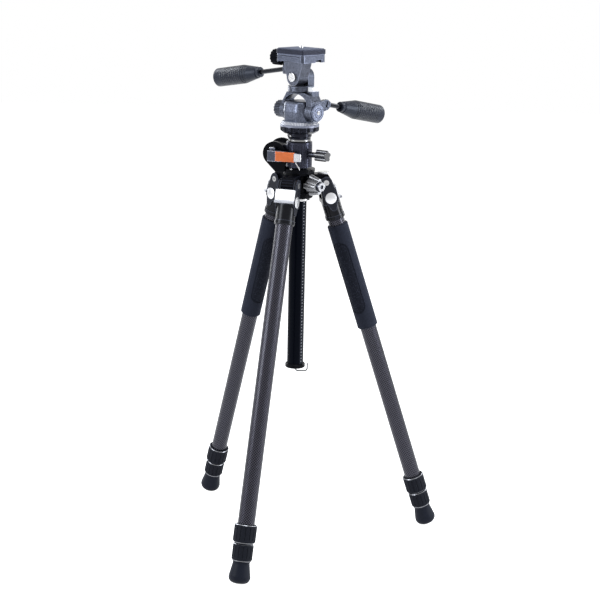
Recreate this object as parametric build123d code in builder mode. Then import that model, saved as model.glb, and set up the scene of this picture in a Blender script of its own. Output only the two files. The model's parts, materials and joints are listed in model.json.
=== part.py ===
from build123d import *
import os
from math import cos, radians, sin

# A three-legged tripod with a centre column and a three-way pan head.
# Lengths are in millimetres and angles in degrees. The column's axis is Z while the pieces are
# made, and heights count from the leg hinges. export_all() then centres the whole part on the floor.

# ---- fits and clearances ----
RUN = 0.05          # radial play of a running fit
SEAT = 0.02         # radial play of a seat within one body
GAP = 0.3           # space between faces of two bodies

# ---- legs ----
LEG_AZIMUTHS = {"front": -110.0, "right": 10.0, "back": 130.0}
SPLAY = 18.0        # a leg's angle from the vertical, standing
HINGE_R = 40.8      # hinge's distance from the column's axis
PIN_R = 3.0
PIN_HEAD_R = 4.2
PIN_HEAD_H = 2.6
PIN_SOCKET_R = 2.0
LUG_W = 21.0        # hub lug, between the cheeks of a leg casting
LUG_NOSE_R = 9.5
CHEEK_W = 29.6      # across both cheeks of a leg casting
CHEEK_R = 9.5
PAD_H = 0.8         # raised pad on each cheek
BOSS_R = 8.9        # polished round boss on each cheek
BOSS_DROP = 25.0    # boss below the hinge
PAD_LENGTH = 41.0   # pad's lower end below the hinge
PAD_END_R = 5.0
BOSS_RIM = 0.4
BOSS_DOME = 1.6
SLOT_DROP = 24.0    # floor of the fork, below the hinge
SLEEVE_TOP = 30.0
SLEEVE_END = 61.0
SLEEVE_R = 14.6
SLEEVE_RIM_R = 15.5
SLEEVE_RIM_H = 7.0

UPPER_D = 26.0      # carbon tubes, outside
MIDDLE_D = 22.0
LOWER_D = 18.0
TUBE_WALL = 1.4
UPPER_TOP = 33.0    # upper ends of the tubes, measured down the leg from the hinge
MIDDLE_TOP = 62.0
LOWER_TOP = 78.0
TUBE_IN_LOCK = 14.0      # length of a tube inside its own lock nut
TUBE_IN_FOOT = 20.3
GRIP_TOP = 70.0
GRIP_LENGTH = 175.0
GRIP_D = 32.5
PANEL_LENGTH = 120.0     # oval panel sunk into the foam
PANEL_W = 25.0
PANEL_DEPTH = 0.8
PANEL_TURN = {"right": -128.0, "back": 168.0}   # its middle, round the leg from the outer side

UPPER_LOCK_TOP = 514.0
UPPER_LOCK_LENGTH = 27.0
UPPER_LOCK_D = 34.4
LOCK_NECK_LENGTH = 1.7
LOCK_NECK_D = 28.5
LOWER_LOCK_LENGTH = 26.4
LOWER_LOCK_D = 31.4
LOCK_RIBS = 16
LOCK_RIB_R = 1.3
LOCK_RIM = 4.0         # plain rim at each end of the ribs
LOCK_BEVEL = 1.6
FOOT_D = 33.0
FOOT_TOP_D = 26.0
FOOT_LENGTH = 33.8
FOOT_DOME = 12.0       # height of the foot's rounded end

TAB_W = 31.0        # pull tab on the outer side of a leg casting
TAB_TOP = 8.4
TAB_LENGTH = 21.0
TAB_T = 2.2
TAB_X = 11.8
TAB_LIP = 3.6
TAB_PIN_R = 1.5
TAB_KNUCKLE_R = 2.6
TAB_AXIS = (9.5, -11.0)   # knuckle in the leg's own x and z

# ---- hub ----
HUB_TOP = 16.7
HUB_BOTTOM = -24.0
HUB_R = 20.5
HUB_RIM_R = 22.2
HUB_RIM_H = 9.0
HUB_CROWN_R = 24.0
HUB_CROWN_H = 4.5
LUG_TOP = 13.0
COLLAR_R = 17.9
COLLAR_DROP = 4.0
LEVEL_R = 9.8
LEVEL_H = 2.6
SWIVEL_KNOB_AZ = -48.0
SWIVEL_KNOB_R = 16.6
SWIVEL_KNOB_Z = -1.5
SWIVEL_KNOB_FREE = 8.5     # bare stud between the hub and the knob
SWIVEL_KNOB_LENGTH = 24.0
SWIVEL_LOBES = 4
SWIVEL_LOBE_R = 4.6
SWIVEL_LOBE_L = 19.0
SWIVEL_NARROWING = 0.72
STOP_CUT = 2.4      # side of the square steps across a lug's nose
STOP_TURNS = (-62, -36, -10, 16)
KNOB_STUD_R = 4.0

# ---- column support, in a frame whose x points from the column to the angle joint ----
SUPPORT_AZ = 160.0
RING_R = 25.0
RING_H = 4.3
HOUSING_R = 20.0
HOUSING_BOTTOM = 24.0
HOUSING_TOP = 63.0
HOUSING_FLUTES = 20
HOUSING_FLUTE_R = 1.1
JOINT_X = 33.0
JOINT_Z = 44.0
EAR_R = 18.5
EAR_T = 6.0
EAR_Y = 15.6        # inner face of each ear
ARM_R = 15.0
INDEX_R = 20.6
INDEX_T = 4.2
INDEX_TEETH = 36
JOINT_PIN_R = 4.0
LEVER_Y = 28.0      # lever's cam pin, from the column's axis
LEVER_T = 8.0
LEVER_H = 16.0
LEVER_DROP = 2.0    # lever's middle below the draw bolt
LEVER_REACH = 48.5  # from the cam pin to the tip
LEVER_CAM_R = 8.0
LEVER_PIN_R = 4.4
LEVER_PIN_RISE = 5.0
LEVER_TIP_L = 11.0  # bare tip beyond the insert
INSERT_LENGTH = 30.0
INSERT_T = 2.4
COLUMN_KNOB_AZ = 165.0
COLUMN_KNOB_R = 9.0
COLUMN_KNOB_FREE = 13.0
COLUMN_KNOB_LENGTH = 20.0
COLUMN_KNOB_STEM_R = 4.2
COLUMN_LOBES = 5
COLUMN_LOBE_R = 3.0

# ---- centre column ----
COLUMN_D = 26.0
COLUMN_END = -290.0
COLUMN_PLATE_R = 17.6
COLUMN_PLATE_H = 3.7
CAP_R = 15.8
CAP_H = 7.0
HOOK_WIRE_R = 1.3
HOOK_REACH = 19.5
HOOK_DROP = 7.0

# ---- pan head, in a frame whose x runs along the front-tilt axis ----
HEAD_AZ = -43.0
NECK_R = 17.4
NECK_TOP_R = 18.8
NECK_H = 8.5
SPINDLE_R = 9.0
PAN_RING_R = 30.0
PAN_RING_H = 10.0
PAN_RING_FLUTES = 16
PAN_FLUTE_R = 3.4
PAN_RING_BEVEL = 3.5
SCALE_R = 30.0
SCALE_TOP_R = 26.5
SCALE_H = 7.5
SCALE_BEVEL = 5.0
BLOCK_FOOT_R = 16.0
BLOCK_L = 45.0      # along the front-tilt axis
BLOCK_W = 43.0
BLOCK_CORNER_R = 14.0
BLOCK_TAPER = 7.0
TILT_RISE = 15.5    # tilt axis above the scale ring
BLOCK_CROWN = 15.5  # top of the block above the tilt axis
SHAFT_R = 5.0
SHAFT_CAP_R = 12.8
SHAFT_CAP_H = 3.4
YOKE_BOSS_R = 14.4
YOKE_ARM_T = 6.5
YOKE_CLAMP_T = 12.0
YOKE_INNER_R = 25.0
YOKE_SEAT_R = 19.0
YOKE_SEAT_TOP = 38.5   # seat above the tilt axis
YOKE_SEAT_H = 10.0
YOKE_DEPTH = 22.0      # width of the arch, along the handle
YOKE_LEVEL_X = 22.0
YOKE_LEVEL_Y = 3.0
YOKE_LEVEL_L = 12.0
YOKE_LEVEL_W = 13.0
YOKE_LEVEL_H = 6.5
TILT_KNOB_R = 13.0
TILT_KNOB_T = 15.0
TILT_KNOB_BORE = 10.0
SIDE_RISE = 51.5    # side-tilt axis above the front-tilt axis
CHEEK_LUG_R = 12.6
CHEEK_LUG_T = 13.5
CHEEK_LUG_Y = 3.5
BRACKET_T = 20.5
BRACKET_TOP_HALF = 19.5
SIDE_BOLT_R = 4.0
SIDE_CAP_R = 6.8
SIDE_CAP_H = 3.0
PLATFORM_RISE = 22.5   # platform's underside above the side-tilt axis
PLATFORM_L = 55.5
PLATFORM_W = 52.0
PLATFORM_H = 12.0
PLATFORM_CORNER_R = 5.0
PLATFORM_ARCH_R = 190.0
PLATFORM_ARCH_H = 1.8
WINDOW_L = 13.0        # recess in the platform's right edge
WINDOW_Y = 9.0
DOVETAIL_L = 40.0
DOVETAIL_H = 4.0
JAW_X = -21.0           # line between the jaw and the platform
GROOVE_STOP = 4.0      # solid front end of the groove
PLATE_L = 55.5
PLATE_W = 51.0
PLATE_H = 7.0
PAD_T = 1.2
CAMERA_SCREW_R = 3.175
CAMERA_SCREW_RISE = 5.4
CAMERA_NECK_R = 2.6      # plain neck below the thread
PLATE_KNOB_R = 12.0
PLATE_KNOB_T = 15.5
PLATE_KNOB_Y = -12.0
PLATE_KNOB_DROP = 7.0    # knob axis below the quick plate

HANDLE_ROD_R = 3.6
ROD_IN_BOSS = 10.0
ROD_IN_GRIP = 20.0
SLIT_W = 1.3             # slit of a clamp round a rod
HANDLE_GRIP_R = 14.6
HANDLE_GRIP_L = 91.5
HANDLE_NECK_R = 8.0
HANDLE_NECK_L = 6.0
TILT_ROD_FREE = 28.0     # bare rod between the boss and the neck
SIDE_ROD_FREE = 54.0
GRIP_CONE_L = 30.0
TILT_HANDLE_DROP = 11.0
SIDE_HANDLE_DROP = 9.5
TILT_HANDLE_X = 29.0
TILT_HANDLE_Y = 30.0
TILT_HANDLE_Z = 10.0     # boss centre above the front-tilt axis
CLAMP_END_R = 7.4
CLAMP_END_L = 6.5
CLAMP_EAR_R = 8.0
SIDE_BOSS = 15.0         # side of the square boss round the side handle's rod
SIDE_HANDLE_X = -26.0
SIDE_HANDLE_Y = -5.0
SIDE_HANDLE_Z = 10.2     # boss centre above the side-tilt axis

# ---- heights that follow ----
RING_BOTTOM = HUB_TOP + GAP
COLUMN_TOP = HOUSING_TOP + GAP
NECK_BOTTOM = COLUMN_TOP + COLUMN_PLATE_H
PAN_RING_BOTTOM = NECK_BOTTOM + NECK_H + GAP
SCALE_BOTTOM = PAN_RING_BOTTOM + PAN_RING_H + GAP
SCALE_TOP = SCALE_BOTTOM + SCALE_H
TILT_Z = SCALE_TOP + TILT_RISE
SEAT_TOP = TILT_Z + YOKE_SEAT_TOP
SIDE_Z = TILT_Z + SIDE_RISE
PLATFORM_BOTTOM = SIDE_Z + PLATFORM_RISE
PLATFORM_TOP = PLATFORM_BOTTOM + PLATFORM_H
PLATE_BOTTOM = PLATFORM_TOP + GAP
UPPER_R = UPPER_D / 2
MIDDLE_R = MIDDLE_D / 2
LOWER_R = LOWER_D / 2
COLUMN_R = COLUMN_D / 2
UPPER_LOCK_END = UPPER_LOCK_TOP + UPPER_LOCK_LENGTH
LOWER_LOCK_TOP = UPPER_LOCK_END + LOCK_NECK_LENGTH + GAP
LOWER_LOCK_END = LOWER_LOCK_TOP + LOWER_LOCK_LENGTH
FOOT_TOP = LOWER_LOCK_END + GAP
FOOT_END = FOOT_TOP + FOOT_LENGTH
UPPER_END = UPPER_LOCK_TOP + TUBE_IN_LOCK
MIDDLE_END = LOWER_LOCK_TOP + TUBE_IN_LOCK
LOWER_END = FOOT_TOP + TUBE_IN_FOOT
SWIVEL_KNOB_START = HUB_R + SWIVEL_KNOB_FREE
COLUMN_KNOB_START = HOUSING_R + COLUMN_KNOB_FREE

pieces = {}


def radial(azimuth, distance=1.0, height=0.0):
    """A point at an azimuth round the column's axis."""
    return Vector(distance * cos(radians(azimuth)), distance * sin(radians(azimuth)), height)


def leg_plane(azimuth):
    """Leg frame: origin on the hinge, x outwards, y along the hinge pin, z up the leg."""
    out = radial(azimuth)
    lean = radians(SPLAY)
    return Plane(origin=radial(azimuth, HINGE_R), x_dir=out * cos(lean) + Vector(0, 0, sin(lean)),
                 z_dir=out * -sin(lean) + Vector(0, 0, cos(lean)))


SUPPORT = Plane(origin=(0, 0, 0), x_dir=radial(SUPPORT_AZ), z_dir=(0, 0, 1))
HEAD = Plane(origin=(0, 0, 0), x_dir=radial(HEAD_AZ), z_dir=(0, 0, 1))


def keep(name, part, plane=Plane.XY):
    """Label a finished piece and put it where its frame stands."""
    piece = part.moved(plane.location)
    piece.label = name
    pieces[name] = piece


def pipe(outer, inner, top, end):
    """A tube from top to end, both counted downwards."""
    with BuildPart() as tube:
        with BuildSketch(Plane.XY.offset(-end)):
            Circle(outer)
            Circle(inner, mode=Mode.SUBTRACT)
        extrude(amount=end - top)
    return tube.part


# ---------------------------------------------------------------- leg pieces, in the leg frame
def leg_casting():
    """Forked crown: two cheeks on the hinge pin, and a sleeve for the upper tube."""
    half = CHEEK_W / 2
    with BuildPart() as casting:
        with BuildSketch(Plane.XZ):
            Circle(CHEEK_R)
            with Locations((TAB_X - GAP - 4, -SLEEVE_TOP), (4 - SLEEVE_R, -SLEEVE_TOP)):
                Circle(4)
            make_hull()
        extrude(amount=half, both=True)
        with BuildSketch(Plane.XY.offset(-SLEEVE_END)):
            Circle(SLEEVE_R)
        extrude(amount=SLEEVE_END - SLEEVE_TOP)
        with BuildSketch(Plane.XY.offset(-SLEEVE_END)):
            Circle(SLEEVE_RIM_R)
        extrude(amount=SLEEVE_RIM_H)
        chamfer(casting.edges().group_by(Axis.Z)[0], 1.2)
        # raised pads that run from the pin to a point beside the sleeve
        with BuildSketch(Plane.XZ):
            Circle(CHEEK_R - 0.6)
            with Locations((0, -BOSS_DROP)):
                Circle(BOSS_R + 1.2)
            with Locations((0, -PAD_LENGTH)):
                Circle(PAD_END_R)
            make_hull()
        face = half + PAD_H
        extrude(amount=face, both=True)
        # polished boss on each cheek: a short rim under a dome
        dome_r = (BOSS_R ** 2 + BOSS_DOME ** 2) / (2 * BOSS_DOME)
        for side in (-1, 1):
            with BuildSketch(Plane.YZ):
                with BuildLine():
                    rim = Polyline((side * (face + BOSS_RIM + BOSS_DOME), -BOSS_DROP),
                                   (side * (face - 1), -BOSS_DROP), (side * (face - 1), BOSS_R - BOSS_DROP),
                                   (side * (face + BOSS_RIM), BOSS_R - BOSS_DROP))
                    RadiusArc(rim @ 1, rim @ 0, side * dome_r)
                make_face()
            revolve(axis=Axis((0, 0, -BOSS_DROP), (0, 1, 0)))
        # fork slot for the hub lug, open at the top, the front and the back
        with BuildSketch(Plane.YZ):
            with Locations((0, -SLOT_DROP)):
                Rectangle(LUG_W + 2 * GAP, SLOT_DROP + 2 * CHEEK_R, align=(Align.CENTER, Align.MIN))
        extrude(amount=2 * SLEEVE_R, both=True, mode=Mode.SUBTRACT)
        # bores: tube, hinge pin with its head, tab knuckle
        with BuildSketch(Plane.XY.offset(-SLEEVE_END)):
            Circle(UPPER_R + SEAT)
        extrude(amount=SLEEVE_END - UPPER_TOP, mode=Mode.SUBTRACT)
        with BuildSketch(Plane.XZ):
            Circle(PIN_R + RUN)
            with Locations(TAB_AXIS):
                Circle(TAB_PIN_R + RUN)
        extrude(amount=half - 2, both=True, mode=Mode.SUBTRACT)
        for side in (-1, 1):
            with BuildSketch(Plane.XZ.offset(side * face)):
                Circle(PIN_HEAD_R + GAP)
            extrude(amount=-side * (PIN_HEAD_H + GAP), mode=Mode.SUBTRACT)
    return casting.part


def angle_tab():
    """Pull tab on the outer side of the crown, with a knuckle between the cheeks."""
    x, z = TAB_AXIS
    with BuildPart() as tab:
        with BuildSketch(Plane.YZ.offset(TAB_X)):
            with Locations((0, -TAB_TOP)):
                RectangleRounded(TAB_W, TAB_LENGTH, 1.5, align=(Align.CENTER, Align.MAX))
        extrude(amount=TAB_T)
        # thicker lip to pull on
        with BuildSketch(Plane.XZ):
            with BuildLine():
                Polyline((TAB_X, -TAB_TOP - TAB_LENGTH), (TAB_X + TAB_T + TAB_LIP, -TAB_TOP - TAB_LENGTH),
                         (TAB_X + TAB_T + TAB_LIP, -TAB_TOP - TAB_LENGTH + 3),
                         (TAB_X + TAB_T, -TAB_TOP - TAB_LENGTH + 6),
                         (TAB_X, -TAB_TOP - TAB_LENGTH + 6), close=True)
            make_face()
        extrude(amount=TAB_W / 2 - 0.6, both=True)
        with BuildSketch(Plane.XZ):
            with Locations(TAB_AXIS):
                Circle(TAB_KNUCKLE_R)
            with Locations(((x + TAB_X + 1) / 2, z)):
                Rectangle(TAB_X + 1 - x, 4)
        extrude(amount=LUG_W / 2, both=True)
        with BuildSketch(Plane.XZ):
            with Locations(TAB_AXIS):
                Circle(TAB_PIN_R)
        extrude(amount=CHEEK_W / 2 - 2 - GAP, both=True)
    return tab.part


def lock_nut(outer, top, end, neck_end, tube_r, tube_end, next_r):
    """Twist lock: a ribbed nut round a tube's end, with a bore for the tube that slides in it."""
    with BuildPart() as nut:
        with BuildSketch(Plane.XZ):
            with BuildLine():
                Polyline((next_r, -top), (outer - LOCK_BEVEL, -top), (outer, -top - LOCK_BEVEL),
                         (outer, -end + LOCK_BEVEL), (outer - LOCK_BEVEL, -end), (LOCK_NECK_D / 2, -end),
                         (LOCK_NECK_D / 2, -neck_end), (next_r, -neck_end), close=True)
            make_face()
        revolve(axis=Axis.Z)
        with BuildSketch(Plane.XY.offset(-tube_end - GAP)):
            Circle(tube_r + RUN)
        extrude(amount=tube_end + GAP - top, mode=Mode.SUBTRACT)
        with BuildSketch(Plane.XY.offset(-end + LOCK_RIM)):
            with PolarLocations(outer + 0.5, LOCK_RIBS):
                Circle(LOCK_RIB_R)
        extrude(amount=end - top - 2 * LOCK_RIM, mode=Mode.SUBTRACT)
    return nut.part


def rubber_foot():
    """Rubber foot that flares down to a rounded end, on the end of the lower tube."""
    wide = FOOT_D / 2
    with BuildPart() as foot:
        with BuildSketch(Plane.XZ) as profile:
            with BuildLine():
                Polyline((0, -FOOT_END), (wide, -FOOT_END + 2.5), (wide, -FOOT_END + FOOT_DOME),
                         (FOOT_TOP_D / 2, -FOOT_TOP - 3), (FOOT_TOP_D / 2, -FOOT_TOP), (0, -FOOT_TOP), close=True)
            make_face()
            fillet(profile.vertices().group_by(Axis.X)[-1], 9)
        revolve(axis=Axis.Z)
        with BuildSketch(Plane.XY.offset(-LOWER_END)):
            Circle(LOWER_R + SEAT)
        extrude(amount=LOWER_END - FOOT_TOP, mode=Mode.SUBTRACT)
    return foot.part


def foam_grip(turn):
    """Foam sleeve with a shallow oval panel on one side."""
    outer = GRIP_D / 2
    with BuildPart() as grip:
        add(pipe(outer, UPPER_R + SEAT, GRIP_TOP, GRIP_TOP + GRIP_LENGTH))
        chamfer(grip.edges().filter_by(GeomType.CIRCLE).group_by(SortBy.RADIUS)[-1], 1.5)
        with BuildPart(mode=Mode.SUBTRACT):
            add(pipe(outer + 1, outer - PANEL_DEPTH, GRIP_TOP, GRIP_TOP + GRIP_LENGTH))
            with BuildSketch(Plane(origin=(0, 0, -GRIP_TOP - GRIP_LENGTH / 2), x_dir=(0, 0, 1), z_dir=radial(turn))):
                SlotOverall(PANEL_LENGTH, PANEL_W)
            extrude(amount=GRIP_D, mode=Mode.INTERSECT)
    return grip.part


def build_legs():
    casting = leg_casting()
    tab = angle_tab()
    upper = pipe(UPPER_R, UPPER_R - TUBE_WALL, UPPER_TOP + GAP, UPPER_END)
    middle = pipe(MIDDLE_R, MIDDLE_R - TUBE_WALL, MIDDLE_TOP, MIDDLE_END)
    lower = pipe(LOWER_R, LOWER_R - TUBE_WALL, LOWER_TOP, LOWER_END)
    upper_lock = lock_nut(UPPER_LOCK_D / 2, UPPER_LOCK_TOP, UPPER_LOCK_END, UPPER_LOCK_END + LOCK_NECK_LENGTH,
                          UPPER_R, UPPER_END, MIDDLE_R + RUN)
    lower_lock = lock_nut(LOWER_LOCK_D / 2, LOWER_LOCK_TOP, LOWER_LOCK_END - 1.5, LOWER_LOCK_END,
                          MIDDLE_R, MIDDLE_END, LOWER_R + RUN)
    foot = rubber_foot()
    for name, azimuth in LEG_AZIMUTHS.items():
        plane = leg_plane(azimuth)
        keep(f"{name}_leg_casting", casting, plane)
        keep(f"{name}_angle_tab", tab, plane)
        keep(f"{name}_upper_tube", upper, plane)
        keep(f"{name}_upper_lock", upper_lock, plane)
        keep(f"{name}_middle_tube", middle, plane)
        keep(f"{name}_lower_lock", lower_lock, plane)
        keep(f"{name}_lower_tube", lower, plane)
        keep(f"{name}_foot", foot, plane)
        if name in PANEL_TURN:
            keep(f"{name}_foam_grip", foam_grip(PANEL_TURN[name]), plane)


# ---------------------------------------------------------------- hub
def lug_plane(azimuth):
    """Upright plane through the column's axis: x outwards, y up, normal along the hinge pin."""
    return Plane(origin=(0, 0, 0), x_dir=radial(azimuth), z_dir=radial(azimuth - 90))


def build_hub():
    with BuildPart() as hub_casting:
        with BuildSketch(Plane.XZ):
            with BuildLine():
                Polyline((COLUMN_R + GAP, HUB_BOTTOM), (HUB_RIM_R - 1, HUB_BOTTOM), (HUB_RIM_R, HUB_BOTTOM + 1),
                         (HUB_RIM_R, HUB_BOTTOM + HUB_RIM_H), (HUB_R, HUB_BOTTOM + HUB_RIM_H + 1),
                         (HUB_R, HUB_TOP - HUB_CROWN_H - 2), (HUB_CROWN_R, HUB_TOP - HUB_CROWN_H),
                         (HUB_CROWN_R, HUB_TOP), (COLUMN_R + GAP, HUB_TOP), close=True)
            make_face()
        revolve(axis=Axis.Z)
        for azimuth in LEG_AZIMUTHS.values():
            with BuildSketch(lug_plane(azimuth)):
                with Locations((HINGE_R, 0)):
                    Circle(LUG_NOSE_R)
                with Locations((HINGE_R + 2, LUG_TOP - 2), (HUB_R, LUG_TOP - 2), (HUB_R, 2 - LUG_TOP)):
                    Circle(2)
                make_hull()
            extrude(amount=LUG_W / 2, both=True)
        # stepped angle stops across each lug's nose, and the pin's bore
        for azimuth in LEG_AZIMUTHS.values():
            with BuildSketch(lug_plane(azimuth)):
                for turn in STOP_TURNS:
                    at = (HINGE_R + LUG_NOSE_R * cos(radians(turn)), LUG_NOSE_R * sin(radians(turn)))
                    with Locations(at):
                        Rectangle(STOP_CUT, STOP_CUT, rotation=turn)
                with Locations((HINGE_R, 0)):
                    Circle(PIN_R + SEAT)
            extrude(amount=LUG_W, both=True, mode=Mode.SUBTRACT)
        # bore for the swivel knob's stud
        with BuildSketch(Plane(origin=radial(SWIVEL_KNOB_AZ, COLUMN_R, SWIVEL_KNOB_Z), z_dir=radial(SWIVEL_KNOB_AZ))):
            Circle(KNOB_STUD_R + RUN)
        extrude(amount=HUB_R, mode=Mode.SUBTRACT)
        with BuildSketch(Plane.XY.offset(HUB_BOTTOM)):
            Circle(COLUMN_R + GAP)
        extrude(amount=HUB_TOP - HUB_BOTTOM, mode=Mode.SUBTRACT)
    keep("hub_casting", hub_casting.part)

    with BuildPart() as hub_collar:
        with BuildSketch(Plane.XY.offset(HUB_BOTTOM - COLLAR_DROP)):
            Circle(COLLAR_R)
            Circle(COLUMN_R + RUN, mode=Mode.SUBTRACT)
        extrude(amount=COLLAR_DROP)
        chamfer(hub_collar.edges().filter_by(GeomType.CIRCLE).group_by(Axis.Z)[0].sort_by(SortBy.RADIUS)[-1], 0.8)
    keep("hub_collar", hub_collar.part)

    with BuildPart() as hinge_pins:
        for azimuth in LEG_AZIMUTHS.values():
            middle = Plane(origin=radial(azimuth, HINGE_R), z_dir=radial(azimuth + 90))
            with BuildSketch(middle):
                Circle(PIN_R)
            extrude(amount=CHEEK_W / 2 - 1, both=True)
            head = CHEEK_W / 2 + PAD_H
            for side in (-1, 1):
                with BuildSketch(middle.offset(side * (head - PIN_HEAD_H))):
                    Circle(PIN_HEAD_R)
                    RegularPolygon(PIN_SOCKET_R, 6, mode=Mode.SUBTRACT)
                extrude(amount=side * PIN_HEAD_H)
                with BuildSketch(middle.offset(side * (head - PIN_HEAD_H))):
                    Circle(PIN_HEAD_R)
                extrude(amount=side * PIN_HEAD_H / 2)
    keep("hinge_pins", hinge_pins.part)

    with BuildPart() as hub_level:
        with BuildSketch(Plane(origin=radial(LEG_AZIMUTHS["right"], HINGE_R - 2, LUG_TOP))):
            Circle(LEVEL_R)
        extrude(amount=LEVEL_H)
        fillet(hub_level.edges().group_by(Axis.Z)[-1], 0.8)
    keep("hub_level", hub_level.part)

    face = Plane(origin=radial(SWIVEL_KNOB_AZ, SWIVEL_KNOB_START, SWIVEL_KNOB_Z), x_dir=(0, 0, 1),
                 z_dir=radial(SWIVEL_KNOB_AZ))
    with BuildPart() as swivel_knob:
        for rise, size in ((0, 1), (SWIVEL_LOBE_L, SWIVEL_NARROWING)):
            with BuildSketch(face.offset(rise)):
                Circle((SWIVEL_KNOB_R - SWIVEL_LOBE_R) * size)
                with PolarLocations((SWIVEL_KNOB_R - SWIVEL_LOBE_R) * size, SWIVEL_LOBES):
                    Circle(SWIVEL_LOBE_R * size)
        loft()
        with BuildSketch(face):
            Circle(SWIVEL_KNOB_R - SWIVEL_LOBE_R - 0.4)
        extrude(amount=SWIVEL_KNOB_LENGTH, taper=12)
        with BuildSketch(face.offset(SWIVEL_KNOB_LENGTH)):
            Circle(3)
        extrude(amount=-1.5, mode=Mode.SUBTRACT)
        with BuildSketch(face):
            Circle(KNOB_STUD_R)
        extrude(amount=-(SWIVEL_KNOB_START - COLUMN_R - GAP - 1))
    keep("swivel_knob", swivel_knob.part)


# ---------------------------------------------------------------- column support
def build_support():
    pivot = (JOINT_X, JOINT_Z)
    with BuildPart() as swivel_ring:
        with BuildSketch(Plane.XY.offset(RING_BOTTOM)):
            Circle(RING_R)
        extrude(amount=RING_H)
        for side in (-1, 1):
            with BuildSketch(Plane.XZ.offset(-side * EAR_Y)):
                with Locations(pivot):
                    Circle(EAR_R)
                with Locations((JOINT_X - EAR_R + 2, RING_BOTTOM + 1), (JOINT_X - 2, RING_BOTTOM + 1)):
                    Circle(1)
                make_hull()
            extrude(amount=-side * EAR_T)
        with BuildSketch(Plane.XY.offset(RING_BOTTOM)):
            with Locations((JOINT_X - EAR_R + 2, 0)):
                Rectangle(EAR_R - 4, 2 * (EAR_Y + EAR_T), align=(Align.MIN, Align.CENTER))
        extrude(amount=RING_H)
        with BuildSketch(Plane.XY.offset(RING_BOTTOM)):
            Circle(COLUMN_R + GAP)
        extrude(amount=RING_H, mode=Mode.SUBTRACT)
        with BuildSketch(Plane.XZ):
            with Locations(pivot):
                Circle(JOINT_PIN_R + SEAT)
        extrude(amount=EAR_Y + EAR_T, both=True, mode=Mode.SUBTRACT)
    keep("swivel_ring", swivel_ring.part, SUPPORT)

    with BuildPart() as column_housing:
        with BuildSketch(Plane.XY.offset(HOUSING_BOTTOM)):
            Circle(HOUSING_R)
        extrude(amount=HOUSING_TOP - HOUSING_BOTTOM)
        chamfer(column_housing.edges().group_by(Axis.Z)[-1], 1)
        with BuildSketch(Plane.XZ.offset(-EAR_Y + SEAT)):
            with Locations(pivot):
                Circle(ARM_R)
            with Locations((2, JOINT_Z)):
                Rectangle(4, 2 * ARM_R - 4)
            make_hull()
        extrude(amount=2 * EAR_Y - INDEX_T - 3 * SEAT)
        # pocket for the index disc's edge
        with BuildSketch(Plane.XZ.offset(EAR_Y - INDEX_T - 2 * SEAT)):
            with Locations(pivot):
                Circle(INDEX_R + SEAT)
        extrude(amount=INDEX_T + 2 * SEAT, mode=Mode.SUBTRACT)
        with BuildSketch(Plane.XY.offset(HOUSING_BOTTOM)):
            with PolarLocations(HOUSING_R + 0.4, HOUSING_FLUTES, start_angle=60, angular_range=240):
                Circle(HOUSING_FLUTE_R)
        extrude(amount=HOUSING_TOP - HOUSING_BOTTOM - 4, mode=Mode.SUBTRACT)
        with BuildSketch(Plane.XY.offset(HOUSING_BOTTOM)):
            Circle(COLUMN_R + RUN)
        extrude(amount=HOUSING_TOP - HOUSING_BOTTOM, mode=Mode.SUBTRACT)
        with BuildSketch(Plane.XZ):
            with Locations(pivot):
                Circle(JOINT_PIN_R + SEAT)
        extrude(amount=EAR_Y, both=True, mode=Mode.SUBTRACT)
        stud = radial(COLUMN_KNOB_AZ)
        with BuildSketch(Plane(origin=stud * COLUMN_R + Vector(0, 0, JOINT_Z), z_dir=stud)):
            Circle(COLUMN_KNOB_STEM_R + RUN)
        extrude(amount=HOUSING_R, mode=Mode.SUBTRACT)
    keep("column_housing", column_housing.part, SUPPORT)

    with BuildPart() as index_disc:
        with BuildSketch(Plane.XZ.offset(EAR_Y - SEAT)):
            with Locations(pivot):
                Circle(INDEX_R)
            with Locations(pivot):
                with PolarLocations(INDEX_R + 0.5, INDEX_TEETH):
                    Circle(1.0, mode=Mode.SUBTRACT)
        extrude(amount=-INDEX_T)
        with BuildSketch(Plane.XZ.offset(EAR_Y + EAR_T)):
            with Locations(pivot):
                Circle(JOINT_PIN_R)
        extrude(amount=-(EAR_Y + EAR_T) - LEVER_Y + LEVER_CAM_R - 2)
    keep("index_disc", index_disc.part, SUPPORT)

    cam = (JOINT_X, LEVER_Y + 1)
    tip = JOINT_X - LEVER_REACH
    outer = LEVER_Y + LEVER_T
    lever_z = JOINT_Z - LEVER_DROP
    low = lever_z - LEVER_H / 2
    with BuildPart() as lock_lever:
        with BuildSketch(Plane.XY.offset(low)):
            with Locations(cam):
                Circle(LEVER_CAM_R - 2)
            with Locations((tip + 2, outer - 2), (JOINT_X + 4.5, outer - 3)):
                Circle(2)
            make_hull()
        extrude(amount=LEVER_H)
        # the bar gets lower towards its tip, and its outer side is cut back for the insert
        with BuildSketch(Plane.XZ.offset(-outer - 4)):
            for side in (-1, 1):
                with BuildLine():
                    Polyline((tip - 1, lever_z + side * (LEVER_H / 2 - 2.5)), (tip - 1, lever_z + side * LEVER_H),
                             (JOINT_X, lever_z + side * LEVER_H), (JOINT_X - 12, lever_z + side * LEVER_H / 2),
                             close=True)
                make_face()
        extrude(amount=LEVER_T + LEVER_Y, mode=Mode.SUBTRACT)
        with BuildSketch(Plane.XY.offset(low)):
            with Locations((tip + LEVER_TIP_L, outer)):
                Rectangle(INSERT_LENGTH, INSERT_T, align=(Align.MIN, Align.MAX))
        extrude(amount=LEVER_H, mode=Mode.SUBTRACT)
        with BuildSketch(Plane.XY.offset(low)):
            with Locations(cam):
                Circle(LEVER_PIN_R)
        extrude(amount=LEVER_H + LEVER_PIN_RISE)
        fillet(lock_lever.edges().group_by(Axis.Z)[-1], 2)
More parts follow.
